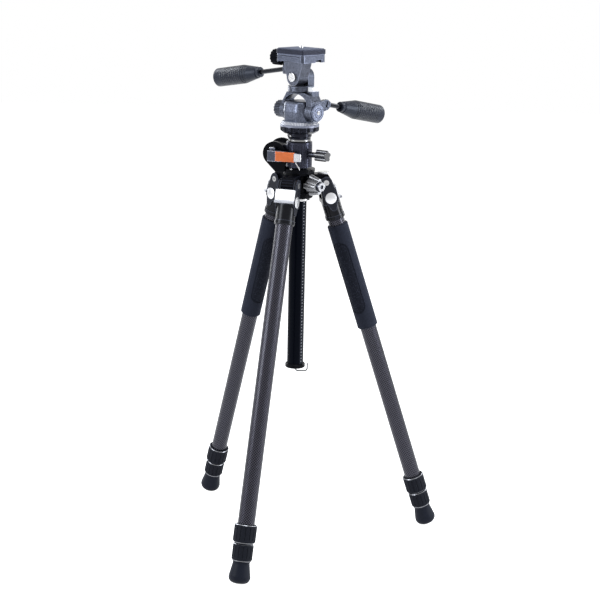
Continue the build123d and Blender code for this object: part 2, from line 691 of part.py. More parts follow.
        # slot for the draw bolt, open towards the ear
        with BuildSketch(Plane.XZ.offset(-LEVER_Y + LEVER_CAM_R)):
            with Locations(pivot):
                Circle(JOINT_PIN_R + GAP)
        extrude(amount=-LEVER_CAM_R + 1, mode=Mode.SUBTRACT)
    keep("lock_lever", lock_lever.part, SUPPORT)

    with BuildPart() as lever_insert:
        with BuildSketch(Plane.XZ.offset(-outer + INSERT_T - SEAT)):
            with Locations((tip + LEVER_TIP_L + INSERT_LENGTH / 2, lever_z)):
                Rectangle(INSERT_LENGTH - 2 * SEAT, LEVER_H - 1.6)
        extrude(amount=-INSERT_T - 0.8)
        fillet(lever_insert.edges().group_by(Axis.Y)[-1], 1.2)
    keep("lever_insert", lever_insert.part, SUPPORT)

    stem = Plane(origin=stud * (COLUMN_R + 2) + Vector(0, 0, JOINT_Z), x_dir=(0, 0, 1), z_dir=stud)
    grip = stem.offset(COLUMN_KNOB_START - COLUMN_R - 2)
    with BuildPart() as column_knob:
        with BuildSketch(stem):
            Circle(COLUMN_KNOB_STEM_R)
        extrude(amount=COLUMN_KNOB_START - COLUMN_R - 2)
        with BuildSketch(grip):
            Circle(COLUMN_KNOB_R - 2.5)
            with PolarLocations(COLUMN_KNOB_R - COLUMN_LOBE_R, COLUMN_LOBES):
                Circle(COLUMN_LOBE_R)
        extrude(amount=COLUMN_KNOB_LENGTH)
        chamfer(column_knob.faces().sort_by(SortBy.DISTANCE)[-1].edges(), 0.8)
    keep("column_knob", column_knob.part, SUPPORT)


# ---------------------------------------------------------------- centre column
def build_column():
    keep("column_tube", pipe(COLUMN_R, COLUMN_R - TUBE_WALL, -COLUMN_TOP, -COLUMN_END))

    with BuildPart() as column_plate:
        with BuildSketch(Plane.XY.offset(COLUMN_TOP)):
            Circle(COLUMN_PLATE_R)
        extrude(amount=COLUMN_PLATE_H)
        chamfer(column_plate.edges(), 0.6)
        with BuildSketch(Plane.XY.offset(COLUMN_TOP)):
            Circle(COLUMN_R - TUBE_WALL - SEAT)
        extrude(amount=-12)
    keep("column_plate", column_plate.part)

    with BuildPart() as column_cap:
        with BuildSketch(Plane.XY.offset(COLUMN_END)):
            Circle(CAP_R)
        extrude(amount=-CAP_H)
        chamfer(column_cap.edges().group_by(Axis.Z)[-1], 1.5)
        fillet(column_cap.edges().group_by(Axis.Z)[0], 1.5)
        with BuildSketch(Plane.XY.offset(COLUMN_END)):
            Circle(COLUMN_R - TUBE_WALL - SEAT)
        extrude(amount=14)
        with BuildSketch(Plane.XY.offset(COLUMN_END - CAP_H)):
            Circle(HOOK_WIRE_R + RUN)
        extrude(amount=CAP_H, mode=Mode.SUBTRACT)
    keep("column_cap", column_cap.part)

    base = COLUMN_END - CAP_H
    with BuildPart() as column_hook:
        with BuildLine():
            FilletPolyline((0, 0, base + 5), (0, 0, base - HOOK_DROP), (HOOK_REACH, 0, base - HOOK_DROP),
                           (HOOK_REACH, 0, base + 6), radius=5)
        with BuildSketch(Plane.XY.offset(base + 5)):
            Circle(HOOK_WIRE_R)
        sweep()
    keep("column_hook", column_hook.part)


# ---------------------------------------------------------------- pan head, in the head frame
def handle_pieces(rod_name, grip_name, start, heading, drop, free):
    """A handle: steel rod from its boss, black neck, and a tapered grip with a knurled end."""
    along = Vector(heading[0] * cos(radians(drop)), heading[1] * cos(radians(drop)), -sin(radians(drop)))
    axis = Plane(origin=start, x_dir=Vector(0, 0, 1).cross(along), z_dir=along)
    with BuildPart() as rod:
        with BuildSketch(axis.offset(-ROD_IN_BOSS)):
            Circle(HANDLE_ROD_R)
        extrude(amount=ROD_IN_BOSS + free + HANDLE_NECK_L + ROD_IN_GRIP)
    keep(rod_name, rod.part, HEAD)
    with BuildPart() as grip:
        with BuildSketch(Plane.XZ):
            with BuildLine():
                reach = HANDLE_NECK_L + HANDLE_GRIP_L
                bore_end = HANDLE_NECK_L + ROD_IN_GRIP + SEAT
                Polyline((HANDLE_ROD_R + SEAT, 0), (HANDLE_NECK_R - 1, 0), (HANDLE_NECK_R, 1),
                         (HANDLE_NECK_R, HANDLE_NECK_L), (HANDLE_NECK_R + 1, HANDLE_NECK_L + 1),
                         (HANDLE_GRIP_R, HANDLE_NECK_L + GRIP_CONE_L), (HANDLE_GRIP_R, reach - 4),
                         (HANDLE_GRIP_R - 4, reach), (0, reach), (0, bore_end), (HANDLE_ROD_R + SEAT, bore_end),
                         close=True)
            make_face()
        revolve(axis=Axis.Z)
        rim = grip.edges().filter_by(GeomType.CIRCLE)
        fillet([e for e in rim if abs(e.radius - HANDLE_GRIP_R) < 0.01 and e.center().Z < reach - 5], 6)
    place = axis.offset(free)
    keep(grip_name, grip.part.moved(place.location), HEAD)


def build_pan():
    with BuildPart() as pan_base:
        with BuildSketch(Plane.XZ):
            with BuildLine():
                Polyline((0, NECK_BOTTOM), (NECK_R, NECK_BOTTOM), (NECK_R, NECK_BOTTOM + 1.5),
                         (NECK_TOP_R, NECK_BOTTOM + 4), (NECK_TOP_R, NECK_BOTTOM + NECK_H),
                         (SPINDLE_R, NECK_BOTTOM + NECK_H), (SPINDLE_R, SCALE_TOP), (0, SCALE_TOP), close=True)
            make_face()
        revolve(axis=Axis.Z)
    keep("pan_base", pan_base.part, HEAD)

    with BuildPart() as pan_lock_ring:
        top = PAN_RING_BOTTOM + PAN_RING_H
        with BuildSketch(Plane.XZ):
            with BuildLine():
                Polyline((0, PAN_RING_BOTTOM), (PAN_RING_R - 6, PAN_RING_BOTTOM),
                         (PAN_RING_R - 1, PAN_RING_BOTTOM + PAN_RING_BEVEL),
                         (PAN_RING_R, PAN_RING_BOTTOM + PAN_RING_BEVEL + 1), (PAN_RING_R, top), (0, top), close=True)
            make_face()
        revolve(axis=Axis.Z)
        with BuildSketch(Plane.XY.offset(PAN_RING_BOTTOM)):
            with PolarLocations(PAN_RING_R + 1, PAN_RING_FLUTES):
                Circle(PAN_FLUTE_R)
            Circle(SPINDLE_R + RUN)
        extrude(amount=PAN_RING_H, mode=Mode.SUBTRACT)
    keep("pan_lock_ring", pan_lock_ring.part, HEAD)

    with BuildPart() as pan_scale_ring:
        with BuildSketch(Plane.XZ):
            with BuildLine():
                Polyline((BLOCK_FOOT_R + SEAT, SCALE_BOTTOM), (SCALE_R, SCALE_BOTTOM),
                         (SCALE_R, SCALE_TOP - SCALE_BEVEL), (SCALE_TOP_R, SCALE_TOP),
                         (BLOCK_FOOT_R + SEAT, SCALE_TOP), close=True)
            make_face()
        revolve(axis=Axis.Z)
    keep("pan_scale_ring", pan_scale_ring.part, HEAD)

    with BuildPart() as tilt_block:
        # rounded block that is widest at the tilt axis
        for rise in (-TILT_RISE, BLOCK_CROWN):
            with BuildSketch(Plane.XY.offset(TILT_Z)):
                RectangleRounded(BLOCK_L, BLOCK_W, BLOCK_CORNER_R)
            extrude(amount=rise, taper=BLOCK_TAPER)
        fillet(tilt_block.edges().group_by(Axis.Z)[-1], 6)
        with BuildSketch(Plane.XY.offset(SCALE_BOTTOM)):
            Circle(BLOCK_FOOT_R)
        extrude(amount=SCALE_H)
        # flat bosses for the yoke's arms
        with BuildSketch(Plane.YZ):
            with Locations((0, TILT_Z)):
                Circle(YOKE_BOSS_R - 2)
        extrude(amount=BLOCK_L / 2, both=True)
        with BuildSketch(Plane.YZ):
            with Locations((0, TILT_Z)):
                Circle(SHAFT_R + RUN)
        extrude(amount=BLOCK_L, both=True, mode=Mode.SUBTRACT)
        with BuildSketch(Plane.XY.offset(SCALE_BOTTOM)):
            Circle(SPINDLE_R + RUN)
        extrude(amount=SCALE_H + GAP, mode=Mode.SUBTRACT)
    keep("tilt_block", tilt_block.part, HEAD)


def build_yoke():
    inner = BLOCK_L / 2 + GAP
    left = -inner - YOKE_ARM_T
    right = inner + YOKE_CLAMP_T
    axis_point = (0, TILT_Z)
    with BuildPart() as yoke:
        # arch over the block, seen along the handle
        with BuildSketch(Plane.XZ):
            with BuildLine():
                Polyline((left, TILT_Z), (left + 1, TILT_Z + 12), (-YOKE_SEAT_R + 1, SEAT_TOP - YOKE_SEAT_H),
                         (YOKE_SEAT_R - 1, SEAT_TOP - YOKE_SEAT_H), (YOKE_SEAT_R + 9, SEAT_TOP - YOKE_SEAT_H - 3),
                         (right - 1, TILT_Z + 16), (right, TILT_Z), (left, TILT_Z))
            make_face()
            with BuildLine():
                lower = Line((-inner, TILT_Z), (inner, TILT_Z))
                Line(lower @ 0, (-inner, TILT_Z + 16))
                ThreePointArc((-inner, TILT_Z + 16), (0, TILT_Z + YOKE_INNER_R + 1.5), (inner, TILT_Z + 16))
                Line((inner, TILT_Z + 16), lower @ 1)
            make_face(mode=Mode.SUBTRACT)
        extrude(amount=YOKE_DEPTH / 2, both=True)
        # round bosses on the tilt axis
        with BuildSketch(Plane.YZ.offset(left)):
            with Locations(axis_point):
                Circle(YOKE_BOSS_R)
        extrude(amount=YOKE_ARM_T)
        with BuildSketch(Plane.YZ.offset(inner)):
            with Locations(axis_point):
                Circle(YOKE_BOSS_R)
        extrude(amount=YOKE_CLAMP_T)
        # handle clamp: an ear behind the right boss, split by a slit
        with BuildSketch(Plane.YZ.offset(inner + 3)):
            with Locations((0, TILT_Z + 6), (TILT_HANDLE_Y - 7, TILT_Z + TILT_HANDLE_Z)):
                Circle(CLAMP_EAR_R)
            make_hull()
        extrude(amount=YOKE_CLAMP_T - 4)
        # six-sided end of the clamp, round the handle's rod
        drop = radians(TILT_HANDLE_DROP)
        boss = Plane(origin=(TILT_HANDLE_X, TILT_HANDLE_Y, TILT_Z + TILT_HANDLE_Z),
                     z_dir=(0, -cos(drop), sin(drop)))
        with BuildSketch(boss):
            RegularPolygon(CLAMP_END_R, 6)
        extrude(amount=CLAMP_END_L)
        # round seat, bevelled below so that it clears the scale ring when tilted right over
        with BuildSketch(Plane.XZ):
            with BuildLine():
                Polyline((0, SEAT_TOP - YOKE_SEAT_H), (YOKE_SEAT_R - 2, SEAT_TOP - YOKE_SEAT_H),
                         (YOKE_SEAT_R, SEAT_TOP - YOKE_SEAT_H + 2), (YOKE_SEAT_R, SEAT_TOP - 1),
                         (YOKE_SEAT_R - 1, SEAT_TOP), (0, SEAT_TOP), close=True)
            make_face()
        revolve(axis=Axis.Z)
        # upright lug behind the side bracket
        with BuildSketch(Plane.XZ.offset(-CHEEK_LUG_Y)):
            with Locations((0, SIDE_Z)):
                Circle(CHEEK_LUG_R)
            with Locations((0, SEAT_TOP - 2)):
                Rectangle(2 * CHEEK_LUG_R, SIDE_Z - SEAT_TOP + 2, align=(Align.CENTER, Align.MIN))
        extrude(amount=-CHEEK_LUG_T)
        # shoulder that carries the level
        with BuildSketch(Plane.XY.offset(SEAT_TOP - YOKE_SEAT_H - 6)):
            with Locations((YOKE_LEVEL_X, YOKE_LEVEL_Y)):
                Rectangle(YOKE_LEVEL_L + 2, YOKE_LEVEL_W + 2)
        extrude(amount=YOKE_SEAT_H + 5 - YOKE_LEVEL_H)
        # pocket of the level
        with BuildSketch(Plane.XY.offset(SEAT_TOP - 1 - YOKE_LEVEL_H)):
            with Locations((YOKE_LEVEL_X, YOKE_LEVEL_Y)):
                RectangleRounded(YOKE_LEVEL_L + 2 * SEAT, YOKE_LEVEL_W + 2 * SEAT, 1.5)
        extrude(amount=10, mode=Mode.SUBTRACT)
        # slit, bores
        with BuildSketch(Plane.YZ.offset(inner)):
            with Locations((TILT_HANDLE_Y - 8.5, TILT_Z + TILT_HANDLE_Z + 3)):
                Rectangle(SLIT_W, 2 * CLAMP_EAR_R + 2)
        extrude(amount=YOKE_CLAMP_T, mode=Mode.SUBTRACT)
        with BuildSketch(Plane.YZ):
            with Locations(axis_point):
                Circle(SHAFT_R + SEAT)
        extrude(amount=60, both=True, mode=Mode.SUBTRACT)
        with BuildSketch(Plane.XZ.offset(-CHEEK_LUG_Y)):
            with Locations((0, SIDE_Z)):
                Circle(SIDE_BOLT_R + SEAT)
        extrude(amount=-CHEEK_LUG_T, mode=Mode.SUBTRACT)
        with BuildSketch(boss.offset(-2)):
            Circle(HANDLE_ROD_R + RUN)
        extrude(amount=ROD_IN_BOSS + 2.5, mode=Mode.SUBTRACT)
    keep("yoke", yoke.part, HEAD)

    with BuildPart() as yoke_level:
        with BuildSketch(Plane.XY.offset(SEAT_TOP - 1 - YOKE_LEVEL_H)):
            with Locations((YOKE_LEVEL_X, YOKE_LEVEL_Y)):
                RectangleRounded(YOKE_LEVEL_L, YOKE_LEVEL_W, 1.5)
        extrude(amount=YOKE_LEVEL_H)
        fillet(yoke_level.edges().group_by(Axis.Z)[-1], 1)
    keep("yoke_level", yoke_level.part, HEAD)

    with BuildPart() as tilt_shaft:
        with BuildSketch(Plane.YZ.offset(left - TILT_KNOB_BORE)):
            with Locations(axis_point):
                Circle(SHAFT_R)
        extrude(amount=right - left + TILT_KNOB_BORE)
        with BuildSketch(Plane.YZ.offset(right)):
            with Locations(axis_point):
                Circle(SHAFT_CAP_R)
        extrude(amount=SHAFT_CAP_H)
        chamfer(tilt_shaft.edges().group_by(Axis.X)[-1], 0.8)
        with BuildSketch(Plane.YZ.offset(right + SHAFT_CAP_H)):
            with Locations(axis_point):
                Circle(8.2)
                Circle(6.8, mode=Mode.SUBTRACT)
        extrude(amount=-1, mode=Mode.SUBTRACT)
    keep("tilt_shaft", tilt_shaft.part, HEAD)

    with BuildPart() as tilt_knob:
        with BuildSketch(Plane.YZ.offset(left - GAP)):
            with Locations(axis_point):
                Circle(TILT_KNOB_R)
                with PolarLocations(TILT_KNOB_R + 0.8, 16):
                    Circle(1.8, mode=Mode.SUBTRACT)
        extrude(amount=-TILT_KNOB_T)
        chamfer(tilt_knob.faces().sort_by(Axis.X)[0].edges(), 1)
        with BuildSketch(Plane.YZ.offset(left - GAP)):
            with Locations(axis_point):
                Circle(SHAFT_R + RUN)
        extrude(amount=-TILT_KNOB_BORE, mode=Mode.SUBTRACT)
    keep("tilt_knob", tilt_knob.part, HEAD)

    handle_pieces("tilt_rod", "tilt_grip", (TILT_HANDLE_X, TILT_HANDLE_Y, TILT_Z + TILT_HANDLE_Z), (0, 1),
                  TILT_HANDLE_DROP, TILT_ROD_FREE)


def dovetail(play, top):
    """Outline of the quick plate's tongue, or of its groove when play is given."""
    half = DOVETAIL_L / 2 + play
    deep = DOVETAIL_H + play
    Polyline((-half + DOVETAIL_H / 2, top), (half - DOVETAIL_H / 2, top), (half, top - deep), (-half, top - deep),
             close=True)


def build_top():
    side_axis = (0, SIDE_Z)
    front = CHEEK_LUG_Y - GAP - BRACKET_T
    with BuildPart() as side_bracket:
        with BuildSketch(Plane.XZ.offset(-front)):
            with BuildLine():
                Polyline((-BRACKET_TOP_HALF, PLATFORM_BOTTOM), (-BRACKET_TOP_HALF + 1.5, PLATFORM_BOTTOM - 6),
                         (-CHEEK_LUG_R, SIDE_Z), (CHEEK_LUG_R, SIDE_Z),
                         (BRACKET_TOP_HALF - 1.5, PLATFORM_BOTTOM - 6), (BRACKET_TOP_HALF, PLATFORM_BOTTOM),
                         close=True)
            make_face()
            with Locations(side_axis):
                Circle(CHEEK_LUG_R)
        extrude(amount=-BRACKET_T)
        # boss of the side handle, split by a slit
        boss = (SIDE_HANDLE_Y, SIDE_Z + SIDE_HANDLE_Z)
        with BuildSketch(Plane.YZ.offset(SIDE_HANDLE_X)):
            with Locations(boss):
                RectangleRounded(SIDE_BOSS, SIDE_BOSS, 3)
        extrude(amount=-SIDE_HANDLE_X - 10)
        with BuildSketch(Plane.YZ.offset(SIDE_HANDLE_X + 7)):
            with Locations((boss[0], boss[1] - 2)):
                Rectangle(SIDE_BOSS + 9, SIDE_BOSS + 3)
        extrude(amount=SLIT_W, mode=Mode.SUBTRACT)
        with BuildSketch(Plane.XZ.offset(-front)):
            with Locations(side_axis):
                Circle(SIDE_BOLT_R + RUN)
        extrude(amount=-BRACKET_T, mode=Mode.SUBTRACT)
        drop = radians(SIDE_HANDLE_DROP)
        with BuildSketch(Plane(origin=(SIDE_HANDLE_X, SIDE_HANDLE_Y, SIDE_Z + SIDE_HANDLE_Z),
                               z_dir=(cos(drop), 0, sin(drop))).offset(-2)):
            Circle(HANDLE_ROD_R + RUN)
        extrude(amount=ROD_IN_BOSS + 2.5, mode=Mode.SUBTRACT)
    keep("side_bracket", side_bracket.part, HEAD)

    with BuildPart() as side_bolt:
        with BuildSketch(Plane.XZ.offset(-front + GAP)):
            with Locations(side_axis):
                Circle(SIDE_CAP_R)
        extrude(amount=SIDE_CAP_H)
        fillet(side_bolt.edges().group_by(Axis.Y)[0], 1.2)
        with BuildSketch(Plane.XZ.offset(-front + GAP)):
            with Locations(side_axis):
                Circle(SIDE_BOLT_R)
        extrude(amount=-(BRACKET_T + CHEEK_LUG_T - 1))
    keep("side_bolt", side_bolt.part, HEAD)

    handle_pieces("side_rod", "side_grip", (SIDE_HANDLE_X, SIDE_HANDLE_Y, SIDE_Z + SIDE_HANDLE_Z), (-1, 0),
                  SIDE_HANDLE_DROP, SIDE_ROD_FREE)

    with BuildPart() as platform:
        with BuildSketch(Plane.XY.offset(PLATFORM_BOTTOM)):
            RectangleRounded(PLATFORM_L, PLATFORM_W, PLATFORM_CORNER_R)
        extrude(amount=PLATFORM_H)
        # shallow arch under the front edge, and a window in the right one
        with BuildSketch(Plane.XZ):
            with Locations((0, PLATFORM_BOTTOM - PLATFORM_ARCH_R + PLATFORM_ARCH_H)):
                Circle(PLATFORM_ARCH_R)
        extrude(amount=PLATFORM_W, both=True, mode=Mode.SUBTRACT)
        with BuildSketch(Plane.YZ.offset(PLATFORM_L / 2)):
            with Locations((WINDOW_Y, PLATFORM_BOTTOM + 1.5)):
                Rectangle(WINDOW_L, 5)
        extrude(amount=-5, mode=Mode.SUBTRACT)
        # groove of the quick plate's dovetail, open at the back
        with BuildSketch(Plane.XZ.offset(PLATFORM_W / 2 - GROOVE_STOP)):
            with BuildLine():
                dovetail(GAP, PLATFORM_TOP)
            make_face()
        extrude(amount=-PLATFORM_W, mode=Mode.SUBTRACT)
        # slot line of the clamp across the front face, and the joint of its jaw
        with BuildSketch(Plane.XZ.offset(PLATFORM_W / 2)):
            with Locations((-1, PLATFORM_TOP - 2.6)):
                Rectangle(PLATFORM_L - 13, 1.4, rotation=-1.5)
            with Locations((JAW_X, PLATFORM_TOP - 2)):
                Rectangle(1, PLATFORM_H, align=(Align.CENTER, Align.MAX))
        extrude(amount=-1.2, mode=Mode.SUBTRACT)
    keep("platform", platform.part, HEAD)

    with BuildPart() as quick_plate:
        with BuildSketch(Plane.XY.offset(PLATE_BOTTOM)):
            RectangleRounded(PLATE_L, PLATE_W, 2)
        extrude(amount=PLATE_H)
        with BuildSketch(Plane.XZ):
            with BuildLine():
                dovetail(0, PLATE_BOTTOM)
            make_face()
        extrude(amount=PLATE_W / 2 - GROOVE_STOP - GAP, both=True)
        with BuildSketch(Plane.XY.offset(PLATE_BOTTOM + 1 - GAP)):
            Circle(CAMERA_NECK_R + RUN)
        extrude(amount=PLATE_H, mode=Mode.SUBTRACT)
    keep("quick_plate", quick_plate.part, HEAD)

    with BuildPart() as plate_pad:
        with BuildSketch(Plane.XY.offset(PLATE_BOTTOM + PLATE_H)):
            RectangleRounded(PLATE_L - 3, PLATE_W - 3, 2)
            Circle(CAMERA_SCREW_R + GAP, mode=Mode.SUBTRACT)
        extrude(amount=PAD_T)
    keep("plate_pad", plate_pad.part, HEAD)

    with BuildPart() as camera_screw:
        with BuildSketch(Plane.XY.offset(PLATE_BOTTOM + 1)):
            Circle(CAMERA_NECK_R)
        extrude(amount=PLATE_H - 1 + PAD_T)
        with BuildSketch(Plane.XY.offset(PLATE_BOTTOM + PLATE_H + PAD_T)):
            Circle(CAMERA_SCREW_R)
        extrude(amount=CAMERA_SCREW_RISE)
        chamfer(camera_screw.edges().group_by(Axis.Z)[-1], 0.8)
    keep("camera_screw", camera_screw.part, HEAD)

    with BuildPart() as plate_knob:
        with BuildSketch(Plane.YZ.offset(-PLATFORM_L / 2 - GAP)):
            with Locations((PLATE_KNOB_Y, PLATE_BOTTOM - PLATE_KNOB_DROP)):
                Circle(PLATE_KNOB_R)
                with PolarLocations(PLATE_KNOB_R + 0.7, 14):
                    Circle(1.6, mode=Mode.SUBTRACT)
        extrude(amount=-PLATE_KNOB_T)
        chamfer(plate_knob.faces().sort_by(Axis.X)[0].edges(), 1)
    keep("plate_knob", plate_knob.part, HEAD)


def export_all():
    """Centre the part on the floor and write one STEP file for each piece."""
    os.makedirs("parts", exist_ok=True)
    boxes = [piece.bounding_box() for piece in pieces.values()]
    middle_x = (min(box.min.X for box in boxes) + max(box.max.X for box in boxes)) / 2
    middle_y = (min(box.min.Y for box in boxes) + max(box.max.Y for box in boxes)) / 2
    shift = Location((-middle_x, -middle_y, -min(box.min.Z for box in boxes)))
    for name, piece in pieces.items():
        placed = piece.moved(shift)
        placed.label = name
        export_step(placed, f"parts/{name}.step")


build_legs()
build_hub()
build_support()
build_column()
build_pan()
build_yoke()
build_top()
export_all()
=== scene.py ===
import json
from math import cos, pi, radians, sin, tau

import bmesh
import bpy
from mathutils import Matrix, Vector


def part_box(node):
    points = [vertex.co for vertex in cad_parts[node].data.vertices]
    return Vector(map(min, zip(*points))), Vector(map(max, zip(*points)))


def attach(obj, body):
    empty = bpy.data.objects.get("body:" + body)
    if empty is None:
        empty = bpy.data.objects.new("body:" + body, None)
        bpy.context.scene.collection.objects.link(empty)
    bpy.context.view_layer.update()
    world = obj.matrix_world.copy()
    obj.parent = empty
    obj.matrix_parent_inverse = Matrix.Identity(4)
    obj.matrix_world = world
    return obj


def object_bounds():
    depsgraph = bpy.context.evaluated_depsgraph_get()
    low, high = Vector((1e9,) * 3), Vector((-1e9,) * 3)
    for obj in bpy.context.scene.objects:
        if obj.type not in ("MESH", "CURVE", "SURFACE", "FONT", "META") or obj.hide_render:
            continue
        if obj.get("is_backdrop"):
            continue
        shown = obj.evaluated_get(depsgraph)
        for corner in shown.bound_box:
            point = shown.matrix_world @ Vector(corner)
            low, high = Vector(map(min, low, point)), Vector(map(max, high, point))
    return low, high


# Look of a carbon tripod with a three-way pan head. Lengths are in metres, in the frame of the CAD.
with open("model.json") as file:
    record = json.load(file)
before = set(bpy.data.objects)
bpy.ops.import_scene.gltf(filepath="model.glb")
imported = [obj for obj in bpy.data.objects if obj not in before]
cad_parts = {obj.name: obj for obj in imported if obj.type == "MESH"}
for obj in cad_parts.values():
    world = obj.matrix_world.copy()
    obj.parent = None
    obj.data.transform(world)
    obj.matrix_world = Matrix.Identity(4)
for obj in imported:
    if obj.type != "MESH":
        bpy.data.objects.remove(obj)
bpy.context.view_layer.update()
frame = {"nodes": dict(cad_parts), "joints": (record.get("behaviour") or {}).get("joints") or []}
nodes = frame["nodes"]
joints = {joint["name"]: joint for joint in frame["joints"]}

# Legs. Drops are measured down the leg from its hinge.
LEGS = ("front", "right", "back")
TUBE_R = {"upper": 0.013, "middle": 0.011, "lower": 0.009}
TOW = 0.0020                                # width of a carbon tow
LOCK_DROP = {"upper": 0.514, "lower": 0.543}
LOCK_LENGTH = {"upper": 0.0270, "lower": 0.0249}
LOCK_RING = 0.0024                          # from one fine ring of a lock to the next
CHEEK_FACE, PAD_FACE = 0.0148, 0.0156       # a cheek's face and its raised pad, from the leg's middle
BOSS_DROP, BOSS_R = 0.025, 0.0089
HUB_RIDGES = (0.0042, 0.0085, -0.016, 0.010)    # pitch, half width, lowest and highest point
CROWN_RIDGES = (0.0045, 0.0105, -0.019, 0.006)
TAB_RIB = 0.0018                            # from one rib of an angle tab to the next
TAB_SHADE_BAND = (0.0035, 0.0085)                 # where the tab turns grey with painted shade of its curled lip, below its middle
FOAM_DROP, FOAM_LENGTH, FOAM_R = 0.070, 0.175, 0.01625
PANEL_LENGTH, PANEL_W = 0.120, 0.025        # oval panel in the foam
PANEL_AZIMUTH = {"right": -128, "back": 168}    # its middle, in degrees from the leg's outer side
PANEL_DOTS = 420                            # scale of the dots in it

# Column and head. Azimuths are in degrees round the column, from the frame's x axis.
SCALE_AZIMUTH = -44
SCALE_STEP = 0.005                          # from one mark of the column's scale to the next
SCALE_STRIP, SCALE_MARK = 0.0030, 0.0011    # half widths of the strip and of its marks
PAN_MARKS, PAN_MARK_IN, PAN_MARK_OUT = 72, 0.0245, 0.0292    # the pan scale's marks and their reach
LEVER_BRIGHT = (0.028, 0.036)               # where the lever turns bright, from its pin
LEVER_PIN_LOW = -0.0102                     # below this, only the lever's pin
GRIP_NECK = {"tilt": 0.027, "side": 0.051}  # from a handle's joint to the grip's cone
GRIP_CONE, GRIP_RIBBED = 0.030, 0.052       # lengths of a grip's cone and of its ribbed part
GRIP_RIB = 0.0042                           # from one rib to the next

# Small fasteners. Heads are given by radius and height, places from the column and the flange's foot.
SEGMENTS = 28
SCREW_SUNK = 0.0008                         # depth of a screw head in its seat
NECK_SCREW, FLANGE_SCREW, SHAFT_SCREW = (0.0017, 0.0011), (0.0021, 0.0014), (0.0030, 0.0012)
NECK_SCREW_AZIMUTH, NECK_SCREW_REACH, NECK_SCREW_RISE = -136, 0.0187, 0.005
FLANGE_SCREW_PLACE = (-0.0118, -0.0180, 0.0043)
PIN_R, PIN_FOOT, PIN_TOP = 0.0010, (0.0014, -0.0212, 0.0038), (-0.0052, -0.0188, 0.0158)

# Colours and grain
BLACK = (0.0022, 0.0025, 0.0040)
BLUE_TINT = (0.78, 0.86, 1.0, 1)            # of reflections
GRAIN = 1100                                # noise scale of a casting's grain

# Camera, lamps and stage
LENS, SENSOR = 87.8, 36                     # mm
LOOK_DOWN, ROLL, YAW = radians(14.02), radians(1.15), radians(-0.06)
CAMERA_RIGHT, CAMERA_BACK = 0.0035, 2.233   # from the column
CAMERA_RISE = 0.3695                        # from the leg hinges
LAMP_AIM = (0, 0, 0.6)
LAMP_COLOUR = (0.93, 0.96, 1.0)
LAMPS = {                                   # place, width and height, watts
    "left": ((-1.66, -0.70, 1.08), (0.80, 1.05), 30),
    "right": ((1.64, -0.40, 0.95), (0.50, 1.1), 36),
    "rim_left": ((-1.25, 1.35, 1.05), (0.60, 1.2), 24),
    "rim_right": ((1.30, 1.20, 1.15), (0.40, 1.2), 14),
    "top": ((0.0, -0.1, 2.3), (1.0, 0.8), 20),
}
SKY = 0.15                                  # strength of the sky as a light
FLOOR_GREY = (0.7, 0.7, 0.7, 1)
FLOOR_GLOW = 0.93                           # what the floor adds where it is seen
FLOOR_HALF, FLOOR_GAP = 6.0, 0.0005         # half its side, and the gap under the feet

UP = Vector((0, 0, 1))


# ---------------------------------------------------------------- frames of the moving parts
def leg_matrix(leg):
    """Leg frame: origin on the hinge, x outwards, y along the pin, z up the leg."""
    z = -Vector(joints[f"{leg}_middle_slide"]["axis"])
    y = -Vector(joints[f"{leg}_leg_hinge"]["axis"])
    x = y.cross(z)
    turn = Matrix((x, y, z)).transposed()
    return Matrix.Translation(joints[f"{leg}_leg_hinge"]["pos_m"]) @ turn.to_4x4()


def joint_matrix(name, x_axis):
    """Frame on a joint: z along its axis, x as near as can be to x_axis."""
    z = Vector(joints[name]["axis"])
    y = z.cross(Vector(x_axis)).normalized()
    turn = Matrix((y.cross(z), y, z)).transposed()
    return Matrix.Translation(joints[name]["pos_m"]) @ turn.to_4x4()


leg_frames = {leg: leg_matrix(leg) for leg in LEGS}
column_frame = joint_matrix("pan", (1, 0, 0))


